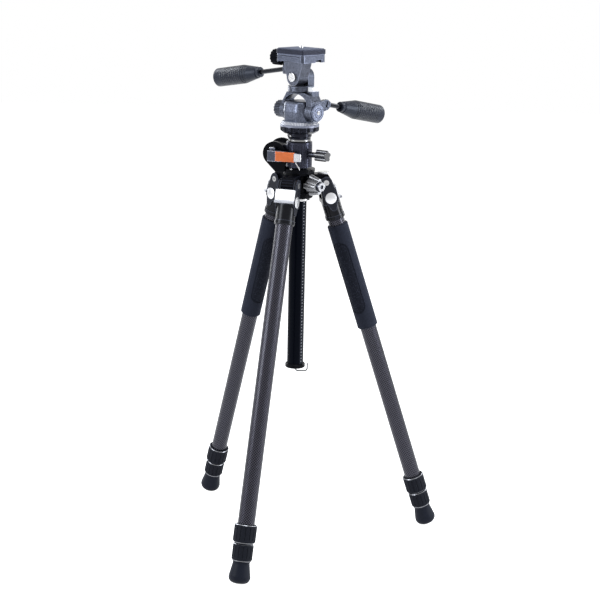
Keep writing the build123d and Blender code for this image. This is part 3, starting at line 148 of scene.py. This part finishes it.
# ---------------------------------------------------------------- shader helpers
class Shader:
    """A material under construction, with short calls for the nodes used here."""

    def __init__(self, name, **values):
        self.material = bpy.data.materials.new(name)
        self.material.use_nodes = True
        self.nodes = self.material.node_tree.nodes
        self.links = self.material.node_tree.links
        self.bsdf = self.nodes["Principled BSDF"]
        for key, value in values.items():
            self.set(key.replace("_", " ").title().replace("Ior", "IOR"), value)

    def set(self, socket, value):
        """Give a socket of the surface shader a number, a colour or the output of a node."""
        if isinstance(value, bpy.types.NodeSocket):
            self.links.new(value, self.bsdf.inputs[socket])
        else:
            self.bsdf.inputs[socket].default_value = value

    def plug(self, node, index, value):
        """The same for a numbered socket of any node."""
        if isinstance(value, bpy.types.NodeSocket):
            self.links.new(value, node.inputs[index])
        else:
            node.inputs[index].default_value = value

    def place(self, matrix=None):
        """Object coordinates, or coordinates in a frame of its own."""
        source = self.nodes.new("ShaderNodeTexCoord").outputs["Object"]
        if matrix is None:
            return source
        mapping = self.nodes.new("ShaderNodeMapping")
        mapping.vector_type = "TEXTURE"
        mapping.inputs["Location"].default_value = matrix.translation
        mapping.inputs["Rotation"].default_value = matrix.to_euler()
        self.links.new(source, mapping.inputs["Vector"])
        return mapping.outputs["Vector"]

    def split(self, vector):
        """The x, y and z of a vector."""
        node = self.nodes.new("ShaderNodeSeparateXYZ")
        self.links.new(vector, node.inputs[0])
        return node.outputs[0], node.outputs[1], node.outputs[2]

    def math(self, operation, a, b=0.0, c=0.0):
        """Sum, product or another operation of a math node."""
        node = self.nodes.new("ShaderNodeMath")
        node.operation = operation
        for index, value in enumerate((a, b, c)):
            self.plug(node, index, value)
        return node.outputs[0]

    def band(self, value, low, high, soft=0.0):
        """1 between low and high, with soft edges if asked."""
        if not soft:
            return self.math("MULTIPLY", self.math("GREATER_THAN", value, low),
                             self.math("LESS_THAN", value, high))
        middle, half = (low + high) / 2, (high - low) / 2
        away = self.math("ABSOLUTE", self.math("SUBTRACT", value, middle))
        return self.fit(away, half + soft, half - soft)

    def fit(self, value, low, high, to_low=0.0, to_high=1.0):
        """Range low to high, carried over to another and held within it."""
        node = self.nodes.new("ShaderNodeMapRange")
        for index, number in enumerate((value, low, high, to_low, to_high)):
            self.plug(node, index, number)
        return node.outputs[0]

    def mix(self, factor, a, b):
        """Colour a where factor is 0 and b where it is 1."""
        node = self.nodes.new("ShaderNodeMix")
        node.data_type = "RGBA"
        self.plug(node, 0, factor)
        self.plug(node, 6, a)
        self.plug(node, 7, b)
        return node.outputs[2]

    def noise(self, vector, scale, detail):
        """Noise of a given scale, about 0.5 on average."""
        node = self.nodes.new("ShaderNodeTexNoise")
        node.inputs["Scale"].default_value = scale
        node.inputs["Detail"].default_value = detail
        self.links.new(vector, node.inputs["Vector"])
        return node.outputs["Fac"]

    def grain(self, scale=GRAIN, detail=3):
        """Fine noise all over the piece, fixed to it."""
        return self.noise(self.place(), scale, detail)

    def rough(self, fine, low, high):
        """Roughness that follows the grain."""
        self.set("Roughness", self.fit(fine, 0.3, 0.7, low, high))

    def open_space(self, distance, inside=False):
        """1 on open faces, less in the piece's own corners, or at its edges when looking inside."""
        node = self.nodes.new("ShaderNodeAmbientOcclusion")
        node.samples = 8
        node.only_local = True
        node.inside = inside
        node.inputs["Distance"].default_value = distance
        return node.outputs["AO"]

    def bump(self, height, distance, strength):
        """Relief of the given depth, from a height between 0 and 1."""
        node = self.nodes.new("ShaderNodeBump")
        node.inputs["Strength"].default_value = strength
        node.inputs["Distance"].default_value = distance
        self.links.new(height, node.inputs["Height"])
        self.links.new(node.outputs[0], self.bsdf.inputs["Normal"])


def grey(value, blue=0.0):
    """Grey with a share of blue added to it."""
    return (value, value * (1 + blue / 5), value * (1 + blue), 1)


def shade(colour, factor=1.0):
    """Colour, lighter or darker by a factor."""
    return tuple(part * factor for part in colour[:3]) + (1,)


def around(s, x, y, radius, azimuth):
    """Length round a tube, from the side at an azimuth in degrees."""
    turn = radians(azimuth)
    nx = s.math("ADD", s.math("MULTIPLY", x, cos(turn)), s.math("MULTIPLY", y, sin(turn)))
    ny = s.math("SUBTRACT", s.math("MULTIPLY", y, cos(turn)), s.math("MULTIPLY", x, sin(turn)))
    return s.math("MULTIPLY", s.math("ARCTAN2", ny, nx), radius)


def hypot(s, a, b):
    """Distance from the origin, from two coordinates."""
    return s.math("SQRT", s.math("ADD", s.math("MULTIPLY", a, a), s.math("MULTIPLY", b, b)))


def ridges(s, y, z, layout, low, high, soft):
    """Ridges across a leg's fork or its lug. Low and high are where one starts and ends in its pitch."""
    pitch, half_width, bottom, top = layout
    ridge = s.band(s.math("FRACT", s.math("DIVIDE", z, pitch)), low, high, soft)
    across = s.math("LESS_THAN", s.math("ABSOLUTE", y), half_width)
    return s.math("MULTIPLY", ridge, s.math("MULTIPLY", across, s.band(z, bottom, top)))


def wear_and_painted_light(s, base, colour, edge_wear_and_highlight_gain, painted_shade_gain):
    """Base colour, lighter along the piece's edges from wear and a painted highlight, and darker in its
    corners as painted shade.
    """
    # Edges: wear and painted highlight. Corners: painted shade.
    edge = s.fit(s.open_space(0.0012, inside=True), 0.90, 0.55)
    painted_shade = s.fit(s.open_space(0.010), 0.85, 0.40)
    base = s.mix(edge, base, shade(colour, edge_wear_and_highlight_gain))
    return s.mix(painted_shade, base, shade(colour, painted_shade_gain))


# ---------------------------------------------------------------- materials
def carbon(name, matrix, radius):
    """Plain weave of carbon tows under clear resin, wrapped round a tube, with one set of cells painted
    lighter as a painted sheen.
    """
    s = Shader(name, metallic=0.75, specular_ior_level=0.05, coat_weight=0.15, coat_roughness=0.15)
    x, y, z = s.split(s.place(matrix))
    turns = round(tau * radius / TOW / 2) * 2
    u = s.math("MULTIPLY", s.math("ARCTAN2", y, x), turns / tau)
    v = s.math("DIVIDE", z, TOW)
    step = s.math("ADD", s.math("FLOOR", u), s.math("FLOOR", v))
    over = s.math("LESS_THAN", s.math("FLOORED_MODULO", step, 2.0), 0.5)
    along = s.math("ABSOLUTE", s.math("SINE", s.math("MULTIPLY", u, pi)))
    across = s.math("ABSOLUTE", s.math("SINE", s.math("MULTIPLY", v, pi)))
    height = s.math("ADD", s.math("MULTIPLY", over, along),
                    s.math("MULTIPLY", s.math("SUBTRACT", 1.0, over), across))
    fibre = s.noise(s.place(matrix), 900, 1)
    # Cells over the others painted lighter: painted sheen of the tows.
    tone = s.mix(over, (0.004, 0.004, 0.006, 1), (0.058, 0.057, 0.074, 1))
    s.set("Base Color", s.mix(s.math("MULTIPLY", fibre, 0.3), tone, (0.020, 0.020, 0.026, 1)))
    s.set("Roughness", s.fit(over, 0, 1, 0.45, 0.36))
    s.bump(height, 0.0002, 0.4)
    return s.material


def foam(name, leg):
    """Closed-cell foam sleeve with a dotted oval panel, its edge drawn as a dark line of painted shade.
    """
    s = Shader(name, roughness=0.85, specular_ior_level=0.05, sheen_weight=0.03, sheen_roughness=0.5)
    x, y, z = s.split(s.place(leg_frames[leg]))
    side = around(s, x, y, FOAM_R, PANEL_AZIMUTH[leg])
    down = s.math("ADD", z, FOAM_DROP + FOAM_LENGTH / 2)
    straight = (PANEL_LENGTH - PANEL_W) / 2
    beyond = s.math("MAXIMUM", s.math("SUBTRACT", s.math("ABSOLUTE", down), straight), 0.0)
    reach = hypot(s, beyond, side)
    panel = s.math("LESS_THAN", reach, PANEL_W / 2 - 0.0008)
    rim = s.band(reach, PANEL_W / 2 - 0.0010, PANEL_W / 2 + 0.0010, 0.0006)
    dots = s.nodes.new("ShaderNodeTexVoronoi")
    dots.inputs["Scale"].default_value = PANEL_DOTS
    s.links.new(s.place(leg_frames[leg]), dots.inputs["Vector"])
    pit = s.math("MULTIPLY", panel, s.math("LESS_THAN", dots.outputs["Distance"], 0.33))
    cell = s.grain(1500)
    base = s.mix(s.fit(cell, 0.3, 0.7), grey(0.014, 0.75), grey(0.027, 0.75))
    base = s.mix(panel, base, grey(0.0115, 0.75))
    base = s.mix(pit, base, grey(0.023, 0.75))
    # Dark line round the panel: painted shade along the edge of its recess.
    s.set("Base Color", s.mix(s.math("MULTIPLY", rim, 0.35), base, grey(0.003, 0.5)))
    height = s.math("SUBTRACT", s.math("MULTIPLY", cell, 0.25), s.math("MULTIPLY", rim, 0.4))
    s.bump(s.math("SUBTRACT", height, s.math("MULTIPLY", pit, 0.5)), 0.0007, 0.6)
    return s.material


def casting(name, colour, rough, metallic, coat, specular, grain=GRAIN, mottle=0.3):
    """Painted or anodised casting with a fine grain, slight tone changes, edges lighter from wear and a
    painted highlight, and painted shade in its corners.
    """
    s = Shader(name, metallic=metallic, specular_ior_level=specular, coat_weight=coat,
               coat_roughness=0.2)
    fine = s.grain(grain)
    broad = s.grain(grain * 0.38, 2)
    both = s.math("ADD", s.math("MULTIPLY", fine, 0.4), s.math("MULTIPLY", broad, 0.6))
    base = s.mix(s.fit(both, 0.38, 0.62), shade(colour, 1 - mottle), shade(colour, 1 + mottle))
    # Painted highlight and wear along the edges, painted shade in the corners.
    s.set("Base Color", wear_and_painted_light(s, base, colour, 2.2, 0.12))
    s.rough(fine, rough - 0.06, rough + 0.08)
    s.bump(fine, 0.00008, 0.5)
    return s.material


def head_paint(name, colour, rough=0.34, metallic=0.75):
    """Blue-grey mottled paint of the head's castings."""
    return casting(name, colour, rough, metallic, coat=0.05, specular=0.2, mottle=0.45)


def hub_finish(name):
    """Black hub casting with ridges on the face of each leg's lug, painted lighter than the gaps as a
    painted highlight, with painted highlight and wear along its edges and painted shade in its corners.
    """
    s = Shader(name, specular_ior_level=0.05, roughness=0.28)
    ridged = 0.0
    for leg in LEGS:
        x, y, z = s.split(s.place(leg_frames[leg]))
        face = s.math("MULTIPLY", ridges(s, y, z, HUB_RIDGES, 0.30, 0.70, 0.08),
                      s.math("GREATER_THAN", x, 0.0))
        ridged = s.math("MAXIMUM", ridged, face)
    fine = s.grain()
    base = s.mix(fine, shade(BLACK, 0.75), shade(BLACK, 1.25))
    # Ridges painted lighter: painted highlight.
    base = s.mix(ridged, base, shade(BLACK, 5.5))
    # Painted highlight and wear along the edges, painted shade in the corners.
    s.set("Base Color", wear_and_painted_light(s, base, BLACK, 5.0, 0.3))
    s.bump(s.math("ADD", s.math("MULTIPLY", fine, 0.1), ridged), 0.0006, 0.6)
    return s.material


def leg_crown(name, leg):
    """Black crown casting: ridges between its cheeks painted lighter as a painted highlight, a greyer
    pad and a polished boss on each, painted highlight and wear along its edges and painted shade in its
    corners.
    """
    s = Shader(name, specular_ior_level=0.12, coat_weight=0.06, coat_roughness=0.12)
    x, y, z = s.split(s.place(leg_frames[leg]))
    out = s.math("ABSOLUTE", y)
    reach = hypot(s, x, s.math("ADD", z, BOSS_DROP))
    boss = s.math("MULTIPLY", s.math("LESS_THAN", reach, BOSS_R + 0.0001),
                  s.math("GREATER_THAN", out, PAD_FACE + 0.0002))
    pad = s.math("GREATER_THAN", out, (CHEEK_FACE + PAD_FACE) / 2)
    fine = s.grain()
    paint = s.mix(fine, grey(0.003, 0.6), grey(0.006, 0.6))
    # Ridges painted lighter: painted highlight.
    paint = s.mix(ridges(s, y, z, CROWN_RIDGES, 0.62, 0.92, 0.06), paint, grey(0.035, 0.4))
    paint = s.mix(pad, paint, grey(0.013, 0.6))
    base = s.mix(boss, paint, grey(0.62, 0.04))
    # Painted highlight and wear along the edges, painted shade in the corners.
    s.set("Base Color", wear_and_painted_light(s, base, grey(0.006, 0.5), 12.0, 0.3))
    s.set("Metallic", s.fit(boss, 0, 1, 0.25, 0.85))
    s.set("Roughness", s.fit(boss, 0, 1, 0.30, 0.28))
    s.bump(fine, 0.00005, 0.4)
    return s.material


def ridged_knob(name, joint, tone, core_reach, narrowing, length, socket=0.0):
    """Bright knob, painted dark between its ridges and in a socket in its end if asked: painted shade.
    """
    s = Shader(name, metallic=0.9)
    x, y, z = s.split(s.place(joint_matrix(joint, UP)))
    reach = hypot(s, x, y)
    core = s.math("MULTIPLY_ADD", z, -narrowing, core_reach)
    # Painted shade between the ridges and in the end socket.
    painted_shade = s.math("MULTIPLY", s.fit(s.math("SUBTRACT", reach, core), 0.0008, 0.0002),
                    s.math("LESS_THAN", z, length - 0.0012))
    painted_shade = s.math("MAXIMUM", painted_shade, s.math("LESS_THAN", reach, socket))
    fine = s.grain(800, 2)
    ridge = s.mix(fine, grey(tone * 0.85, 0.06), grey(tone, 0.06))
    s.set("Base Color", s.mix(painted_shade, ridge, grey(0.03, 0.4)))
    s.rough(fine, 0.30, 0.42)
    return s.material


def tab_silver_and_painted_shade(name, leg):
    """White-silver tab whose curled lower lip is painted grey as painted shade, with light and dark
    stripes painted on its ribs.
    """
    s = Shader(name, metallic=0.35, roughness=0.35)
    low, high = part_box(f"{leg}_angle_tab")
    middle = leg_frames[leg].inverted() @ ((low + high) / 2)
    _, y, z = s.split(s.place(leg_frames[leg]))
    down = s.fit(s.math("SUBTRACT", middle.z, z), *TAB_SHADE_BAND)
    rib = s.fit(s.math("SINE", s.math("MULTIPLY", y, tau / TAB_RIB)), -0.6, 0.6)
    fine = s.grain(900)
    face = s.mix(fine, grey(0.86, 0.03), grey(0.94, 0.03))
    # Painted shade on the lower lip, with painted light and shade on its ribs.
    edge = s.mix(rib, grey(0.22, 0.2), grey(0.50, 0.1))
    s.set("Base Color", s.mix(down, face, edge))
    s.bump(fine, 0.00006, 0.4)
    return s.material


def metal(name, value, rough, blue=0.02):
    """Bare metal with a slightly uneven polish."""
    s = Shader(name, metallic=0.9)
    fine = s.grain(700)
    s.set("Base Color", s.mix(fine, grey(value * 0.9, blue), grey(value, blue)))
    s.rough(fine, rough - 0.04, rough + 0.06)
    return s.material


def rubber(name, value, rough, blue, grain, depth):
    """Matt rubber with a grain of its own scale and depth."""
    s = Shader(name, specular_ior_level=0.07)
    fine = s.grain(grain)
    s.set("Base Color", s.mix(fine, grey(value * 0.8, blue), grey(value * 1.25, blue)))
    s.rough(fine, rough - 0.08, rough + 0.08)
    s.bump(fine, depth, 0.6)
    return s.material


def twist_lock(name, leg, lock):
    """Rubber sleeve with fine rings round it and a thin bright ring at each end."""
    s = Shader(name, specular_ior_level=0.06)
    down = s.math("MULTIPLY", s.split(s.place(leg_frames[leg]))[2], -1.0)
    top = LOCK_DROP[lock]
    end = top + LOCK_LENGTH[lock]
    rim = s.math("ADD", s.band(down, top + 0.0005, top + 0.0012),
                 s.band(down, end + 0.0001, end + 0.0009))
    fine = s.grain(1300)
    s.set("Base Color", s.mix(rim, s.mix(fine, grey(0.007, 0.6), grey(0.014, 0.6)), grey(0.24, 0.1)))
    s.set("Metallic", rim)
    s.set("Roughness", s.fit(rim, 0, 1, 0.62, 0.3))
    ring = s.math("SINE", s.math("MULTIPLY", down, tau / LOCK_RING))
    s.bump(s.math("ADD", fine, s.math("MULTIPLY", ring, 0.35)), 0.00018, 0.5)
    return s.material


def handle_grip(name, handle):
    """Soft grip with fine ribs round its far half, the gaps between them painted darker as painted
    shade, and a smooth cone.
    """
    s = Shader(name, specular_ior_level=0.20, specular_tint=BLUE_TINT)
    z = s.split(s.place(joint_matrix(f"{handle}_handle_turn", UP)))[2]
    cone_end = GRIP_NECK[handle] + GRIP_CONE
    ribbed = s.band(z, cone_end - 0.002, cone_end + GRIP_RIBBED, 0.001)
    wave = s.math("SINE", s.math("MULTIPLY", z, tau / GRIP_RIB))
    fine = s.grain(1200, 2)
    groove_depth_and_shade = s.math("MULTIPLY", ribbed, s.fit(wave, -0.2, -0.9))
    skin = s.mix(fine, grey(0.008, 0.9), grey(0.016, 0.9))
    # Gaps between the ribs painted darker: painted shade.
    s.set("Base Color", s.mix(groove_depth_and_shade, skin, grey(0.003, 0.3)))
    s.rough(fine, 0.34, 0.44)
    height = s.math("ADD", s.math("MULTIPLY", fine, 0.2), s.math("MULTIPLY", groove_depth_and_shade, -1.0))
    s.bump(height, 0.0008, 0.7)
    return s.material


def degree_ring(name, colour):
    """Painted ring round the column's axis, with white marks all round."""
    s = Shader(name, metallic=0.3, roughness=0.42)
    x, y, _ = s.split(s.place(column_frame))
    turn = s.math("MULTIPLY", s.math("ARCTAN2", y, x), PAN_MARKS / tau)
    near = s.math("ABSOLUTE", s.math("SUBTRACT", s.math("FRACT", turn), 0.5))
    mark = s.math("MULTIPLY", s.math("LESS_THAN", near, 0.14),
                  s.band(hypot(s, x, y), PAN_MARK_IN, PAN_MARK_OUT))
    fine = s.grain()
    s.set("Base Color", s.mix(mark, s.mix(fine, shade(colour, 0.75), shade(colour)), grey(0.75)))
    s.bump(fine, 0.00006, 0.4)
    return s.material


def column_finish(name):
    """Black anodised column with a strip of scale marks down one side."""
    s = Shader(name, specular_ior_level=0.03, specular_tint=BLUE_TINT)
    x, y, z = s.split(s.place(column_frame))
    side = s.math("ABSOLUTE", around(s, x, y, TUBE_R["upper"], SCALE_AZIMUTH))
    strip = s.math("LESS_THAN", side, SCALE_STRIP)
    mark = s.math("MULTIPLY", s.math("LESS_THAN", side, SCALE_MARK),
                  s.math("LESS_THAN", s.math("FRACT", s.math("DIVIDE", z, SCALE_STEP)), 0.24))
    fine = s.grain(900)
    base = s.mix(fine, grey(0.0010, 2.0), grey(0.0018, 2.0))
    base = s.mix(s.math("MULTIPLY", strip, 0.6), base, grey(0.03, 0.4))
    s.set("Base Color", s.mix(mark, base, grey(0.30, 0.1)))
    s.rough(fine, 0.18, 0.24)
    return s.material


def bubble_level(name, matrix, radius):
    """Bubble level: white rim, pale liquid, a bubble inside a dark circle."""
    s = Shader(name, roughness=0.15, coat_weight=0.5, coat_roughness=0.05)
    x, y, _ = s.split(s.place(matrix))
    reach = hypot(s, x, y)
    rim = s.math("GREATER_THAN", reach, radius * 0.72)
    circle = s.band(reach, radius * 0.36, radius * 0.44)
    bubble = s.math("LESS_THAN", reach, radius * 0.26)
    base = s.mix(rim, (0.66, 0.72, 0.58, 1), grey(0.80, 0.04))
    base = s.mix(circle, base, grey(0.08))
    s.set("Base Color", s.mix(bubble, base, (0.83, 0.88, 0.78, 1)))
    return s.material


def lever_finish(name):
    """Lever that is dark round its pin, and bright on the pin and at the tip."""
    s = Shader(name, metallic=0.85)
    x, y, z = s.split(s.place(joint_matrix("lever_swing", Vector(joints["front_leg_hinge"]["axis"]))))
    tip = s.fit(hypot(s, x, y), *LEVER_BRIGHT)
    pin = s.math("LESS_THAN", z, LEVER_PIN_LOW)
    fine = s.grain(700)
    dark = s.mix(fine, grey(0.04, 0.5), grey(0.07, 0.5))
    bright = s.mix(fine, grey(0.46, 0.06), grey(0.56, 0.06))
    base = s.mix(s.math("MAXIMUM", tip, pin), dark, bright)
    # Painted highlight and wear along the edges, painted shade in the corners.
    s.set("Base Color", wear_and_painted_light(s, base, grey(0.06, 0.2), 8.0, 0.3))
    s.rough(fine, 0.24, 0.34)
    return s.material


def dress(material, *names):
    """Give CAD nodes a material."""
    for name in names:
        mesh = nodes[name].data
        mesh.materials.clear()
        mesh.materials.append(material)


for leg in LEGS:
    for part, radius in TUBE_R.items():
        dress(carbon(f"{leg}_{part}_weave", leg_frames[leg], radius), f"{leg}_{part}_tube")
    for lock in LOCK_DROP:
        dress(twist_lock(f"{leg}_{lock}_lock_rubber", leg, lock), f"{leg}_{lock}_lock")
    dress(leg_crown(f"{leg}_crown", leg), f"{leg}_leg_casting")
    dress(tab_silver_and_painted_shade(f"{leg}_tab_silver", leg), f"{leg}_angle_tab")
for leg in PANEL_AZIMUTH:
    dress(foam(f"{leg}_foam", leg), f"{leg}_foam_grip")
dress(rubber("foot_rubber", 0.010, rough=0.45, blue=0.9, grain=1300, depth=0.0001),
      *(f"{leg}_foot" for leg in LEGS))

# Hub and column
bright_metal = metal("bright_metal", 0.60, rough=0.20)
dress(bright_metal, "hub_collar", "camera_screw", "side_bolt")
dress(metal("pin_metal", 0.50, rough=0.22), "hinge_pins")
dress(metal("hook_metal", 0.22, rough=0.25), "column_hook", "column_plate")
dress(hub_finish("hub_black"), "hub_casting")
dress(casting("black_anodised", BLACK, rough=0.26, metallic=0.0, coat=0.0, specular=0.05),
      "swivel_ring", "column_cap", "index_disc")
dress(casting("black_gloss", (0.028, 0.030, 0.045), rough=0.24, metallic=0.85, coat=0.05, specular=0.2,
              mottle=0.08), "column_housing")
dress(column_finish("column_black"), "column_tube")
dress(lever_finish("lever_metal"), "lock_lever")
dress(casting("orange_plastic", (0.60, 0.130, 0.024), rough=0.35, metallic=0.0, coat=0.15, specular=0.4,
              grain=500, mottle=0.08), "lever_insert")
dress(ridged_knob("swivel_knob_metal", "swivel_knob_turn", tone=0.24, core_reach=0.0116, narrowing=0.21,
                  length=0.024, socket=0.0031), "swivel_knob")
dress(ridged_knob("column_knob_metal", "column_knob_turn", tone=0.105, core_reach=0.0065, narrowing=0.0,
                  length=0.020), "column_knob")

# Head
dress(casting("pan_black", (0.011, 0.012, 0.019), rough=0.24, metallic=0.6, coat=0.04, specular=0.15,
              mottle=0.1), "pan_base", "pan_lock_ring")
dress(degree_ring("pan_scale", (0.18, 0.192, 0.25)), "pan_scale_ring")
dress(head_paint("head_paint", (0.082, 0.092, 0.126)), "tilt_block")
dress(head_paint("yoke_paint", (0.060, 0.067, 0.090)), "yoke")
dress(head_paint("bracket_paint", (0.062, 0.068, 0.090)), "side_bracket")
dress(head_paint("platform_paint", (0.058, 0.065, 0.090), rough=0.36, metallic=0.7), "platform")
dress(casting("plate_paint", (0.018, 0.020, 0.032), rough=0.36, metallic=0.4, coat=0.02, specular=0.10),
      "quick_plate")
dress(rubber("plate_pad_rubber", 0.105, rough=0.7, blue=0.5, grain=600, depth=0.0003), "plate_pad")
dress(casting("plate_knob_plastic", (0.003, 0.0034, 0.0055), rough=0.42, metallic=0.0, coat=0.0,
              specular=0.015), "plate_knob")
dress(casting("tilt_shaft_paint", (0.12, 0.136, 0.19), rough=0.3, metallic=0.7, coat=0.15,
              specular=0.4), "tilt_shaft")
dress(casting("tilt_knob_paint", (0.034, 0.038, 0.052), rough=0.34, metallic=0.6, coat=0.05,
              specular=0.2), "tilt_knob")
dress(metal("handle_rod_metal", 0.016, rough=0.2, blue=0.4), "tilt_rod", "side_rod")
for handle in GRIP_NECK:
    dress(handle_grip(f"{handle}_grip_rubber", handle), f"{handle}_grip")
for name in ("hub_level", "yoke_level"):
    low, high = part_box(name)
    middle = Matrix.Translation((low + high) / 2)
    dress(bubble_level(f"{name}_glass", middle, (high.x - low.x) / 2), name)


# ---------------------------------------------------------------- small fasteners
def turned_piece(name, body, start, direction, profile):
    """Bright piece turned round a line. The profile gives radius and distance along it, end to end."""
    form = bmesh.new()
    rings = []
    for radius, along in profile:
        turns = [tau * i / SEGMENTS for i in range(SEGMENTS)] if radius else [0]
        rings.append([form.verts.new((radius * cos(turn), radius * sin(turn), along))
                      for turn in turns])
    for ring, following in zip(rings, rings[1:]):
        for i in range(SEGMENTS):
            corners = [ring[i % len(ring)], ring[(i + 1) % len(ring)],
                       following[(i + 1) % len(following)], following[i % len(following)]]
            form.faces.new(list(dict.fromkeys(corners)))
    bmesh.ops.recalc_face_normals(form, faces=form.faces)
    mesh = bpy.data.meshes.new(name)
    form.to_mesh(mesh)
    form.free()
    mesh.shade_smooth()
    mesh.set_sharp_from_angle(angle=radians(30))
    mesh.materials.append(bright_metal)
    piece = bpy.data.objects.new(name, mesh)
    turn = direction.to_track_quat("Z", "Y").to_matrix().to_4x4()
    piece.matrix_world = Matrix.Translation(start) @ turn
    bpy.context.scene.collection.objects.link(piece)
    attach(piece, body)


def screw_profile(radius, height):
    """Screw head with a chamfered rim and a socket, sunk a little into its seat."""
    return [(0, -SCREW_SUNK), (radius, -SCREW_SUNK), (radius, height * 0.6), (radius * 0.82, height),
            (radius * 0.5, height), (radius * 0.42, height * 0.35), (0, height * 0.35)]


def pin_profile(radius, length):
    """Pin with rounded ends."""
    return [(0, 0), (radius * 0.7, radius * 0.3), (radius, radius), (radius, length - radius),
            (radius * 0.7, length - radius * 0.3), (0, length)]


def face_reach(node, joint):
    """How far a node reaches along a joint's axis, from the joint's place."""
    place, axis = Vector(joints[joint]["pos_m"]), Vector(joints[joint]["axis"])
    return max((vertex.co - place).dot(axis) for vertex in nodes[node].data.vertices)


column_foot = Vector((*joints["pan"]["pos_m"][:2], 0))
out = Vector((cos(radians(NECK_SCREW_AZIMUTH)), sin(radians(NECK_SCREW_AZIMUTH)), 0))
neck_place = column_foot + out * NECK_SCREW_REACH + UP * (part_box("pan_base")[0].z + NECK_SCREW_RISE)
turned_piece("neck_screw", "centre_column", neck_place, out, screw_profile(*NECK_SCREW))

flange_foot = column_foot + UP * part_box("swivel_ring")[0].z
flange_place = flange_foot + Vector(FLANGE_SCREW_PLACE)
turned_piece("flange_screw", "column_support", flange_place, UP, screw_profile(*FLANGE_SCREW))

pin_line = Vector(PIN_TOP) - Vector(PIN_FOOT)
pin_place = flange_foot + Vector(PIN_FOOT)
turned_piece("support_pin", "column_support", pin_place, pin_line, pin_profile(PIN_R, pin_line.length))

tilt_axis = Vector(joints["front_tilt"]["axis"])
shaft_place = Vector(joints["front_tilt"]["pos_m"]) + tilt_axis * face_reach("tilt_shaft", "front_tilt")
turned_piece("tilt_shaft_screw", "yoke", shaft_place, tilt_axis, screw_profile(*SHAFT_SCREW))


# ---------------------------------------------------------------- studio
def area_light(name, place, size, power):
    """Soft lamp that looks at the object."""
    lamp = bpy.data.lights.new(name, "AREA")
    lamp.shape = "RECTANGLE"
    lamp.size, lamp.size_y = size
    lamp.energy = power
    lamp.color = LAMP_COLOUR
    light = bpy.data.objects.new(name, lamp)
    light.location = place
    light.rotation_euler = (Vector(LAMP_AIM) - Vector(place)).to_track_quat("-Z", "Y").to_euler()
    bpy.context.scene.collection.objects.link(light)


def seen_rays(tree):
    """1 for the rays that show the background: those of the camera, reflections and glass."""
    path = tree.nodes.new("ShaderNodeLightPath")
    total = path.outputs["Is Camera Ray"]
    for name in ("Is Glossy Ray", "Is Transmission Ray"):
        node = tree.nodes.new("ShaderNodeMath")
        node.operation = "MAXIMUM"
        tree.links.new(total, node.inputs[0])
        tree.links.new(path.outputs[name], node.inputs[1])
        total = node.outputs[0]
    return total


def floor_material():
    """Pale grey that keeps the object's shadow, lifted to white where it is seen."""
    material = bpy.data.materials.new("floor_white")
    material.use_nodes = True
    tree = material.node_tree
    tree.nodes.clear()
    diffuse = tree.nodes.new("ShaderNodeBsdfDiffuse")
    diffuse.inputs["Color"].default_value = FLOOR_GREY
    glow = tree.nodes.new("ShaderNodeEmission")
    glow.inputs["Strength"].default_value = FLOOR_GLOW
    both = tree.nodes.new("ShaderNodeAddShader")
    seen = tree.nodes.new("ShaderNodeMixShader")
    output = tree.nodes.new("ShaderNodeOutputMaterial")
    tree.links.new(seen_rays(tree), seen.inputs[0])
    tree.links.new(diffuse.outputs[0], both.inputs[0])
    tree.links.new(glow.outputs[0], both.inputs[1])
    tree.links.new(diffuse.outputs[0], seen.inputs[1])
    tree.links.new(both.outputs[0], seen.inputs[2])
    tree.links.new(seen.outputs[0], output.inputs["Surface"])
    return material


def build_floor():
    """Wide floor just under the feet, which is no piece of the part."""
    mesh = bpy.data.meshes.new("floor")
    form = bmesh.new()
    bmesh.ops.create_grid(form, x_segments=1, y_segments=1, size=FLOOR_HALF)
    form.to_mesh(mesh)
    form.free()
    floor = bpy.data.objects.new("floor", mesh)
    floor.location.z = -FLOOR_GAP
    mesh.materials.append(floor_material())
    bpy.context.scene.collection.objects.link(floor)
    floor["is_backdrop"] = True


def build_world():
    """White where it is seen, and a dim even sky to everything else."""
    world = bpy.data.worlds.new("studio")
    world.use_nodes = True
    bpy.context.scene.world = world
    tree = world.node_tree
    strength = tree.nodes.new("ShaderNodeMapRange")
    strength.inputs["To Min"].default_value = SKY
    strength.inputs["To Max"].default_value = 1.0
    tree.links.new(seen_rays(tree), strength.inputs["Value"])
    background = tree.nodes["Background"]
    background.inputs["Color"].default_value = (1, 1, 1, 1)
    tree.links.new(strength.outputs[0], background.inputs["Strength"])


def build_camera():
    """Camera a little above the head, with the tripod leaning slightly in the view."""
    axis = Vector(joints["pan"]["pos_m"])
    hinge = Vector(joints["front_leg_hinge"]["pos_m"])
    place = Vector((axis.x + CAMERA_RIGHT, axis.y - CAMERA_BACK, hinge.z + CAMERA_RISE))
    data = bpy.data.cameras.new("camera")
    data.sensor_width = SENSOR
    data.lens = LENS
    camera = bpy.data.objects.new("camera", data)
    turn = (Matrix.Rotation(YAW, 4, "Z") @ Matrix.Rotation(pi / 2 - LOOK_DOWN, 4, "X")
            @ Matrix.Rotation(ROLL, 4, "Z"))
    camera.matrix_world = Matrix.Translation(place) @ turn
    bpy.context.scene.collection.objects.link(camera)
    bpy.context.scene.camera = camera


build_floor()
build_world()
build_camera()
for name, (place, size, power) in LAMPS.items():
    area_light(name, place, size, power)
bpy.context.scene.view_settings.view_transform = "Standard"

low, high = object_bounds()
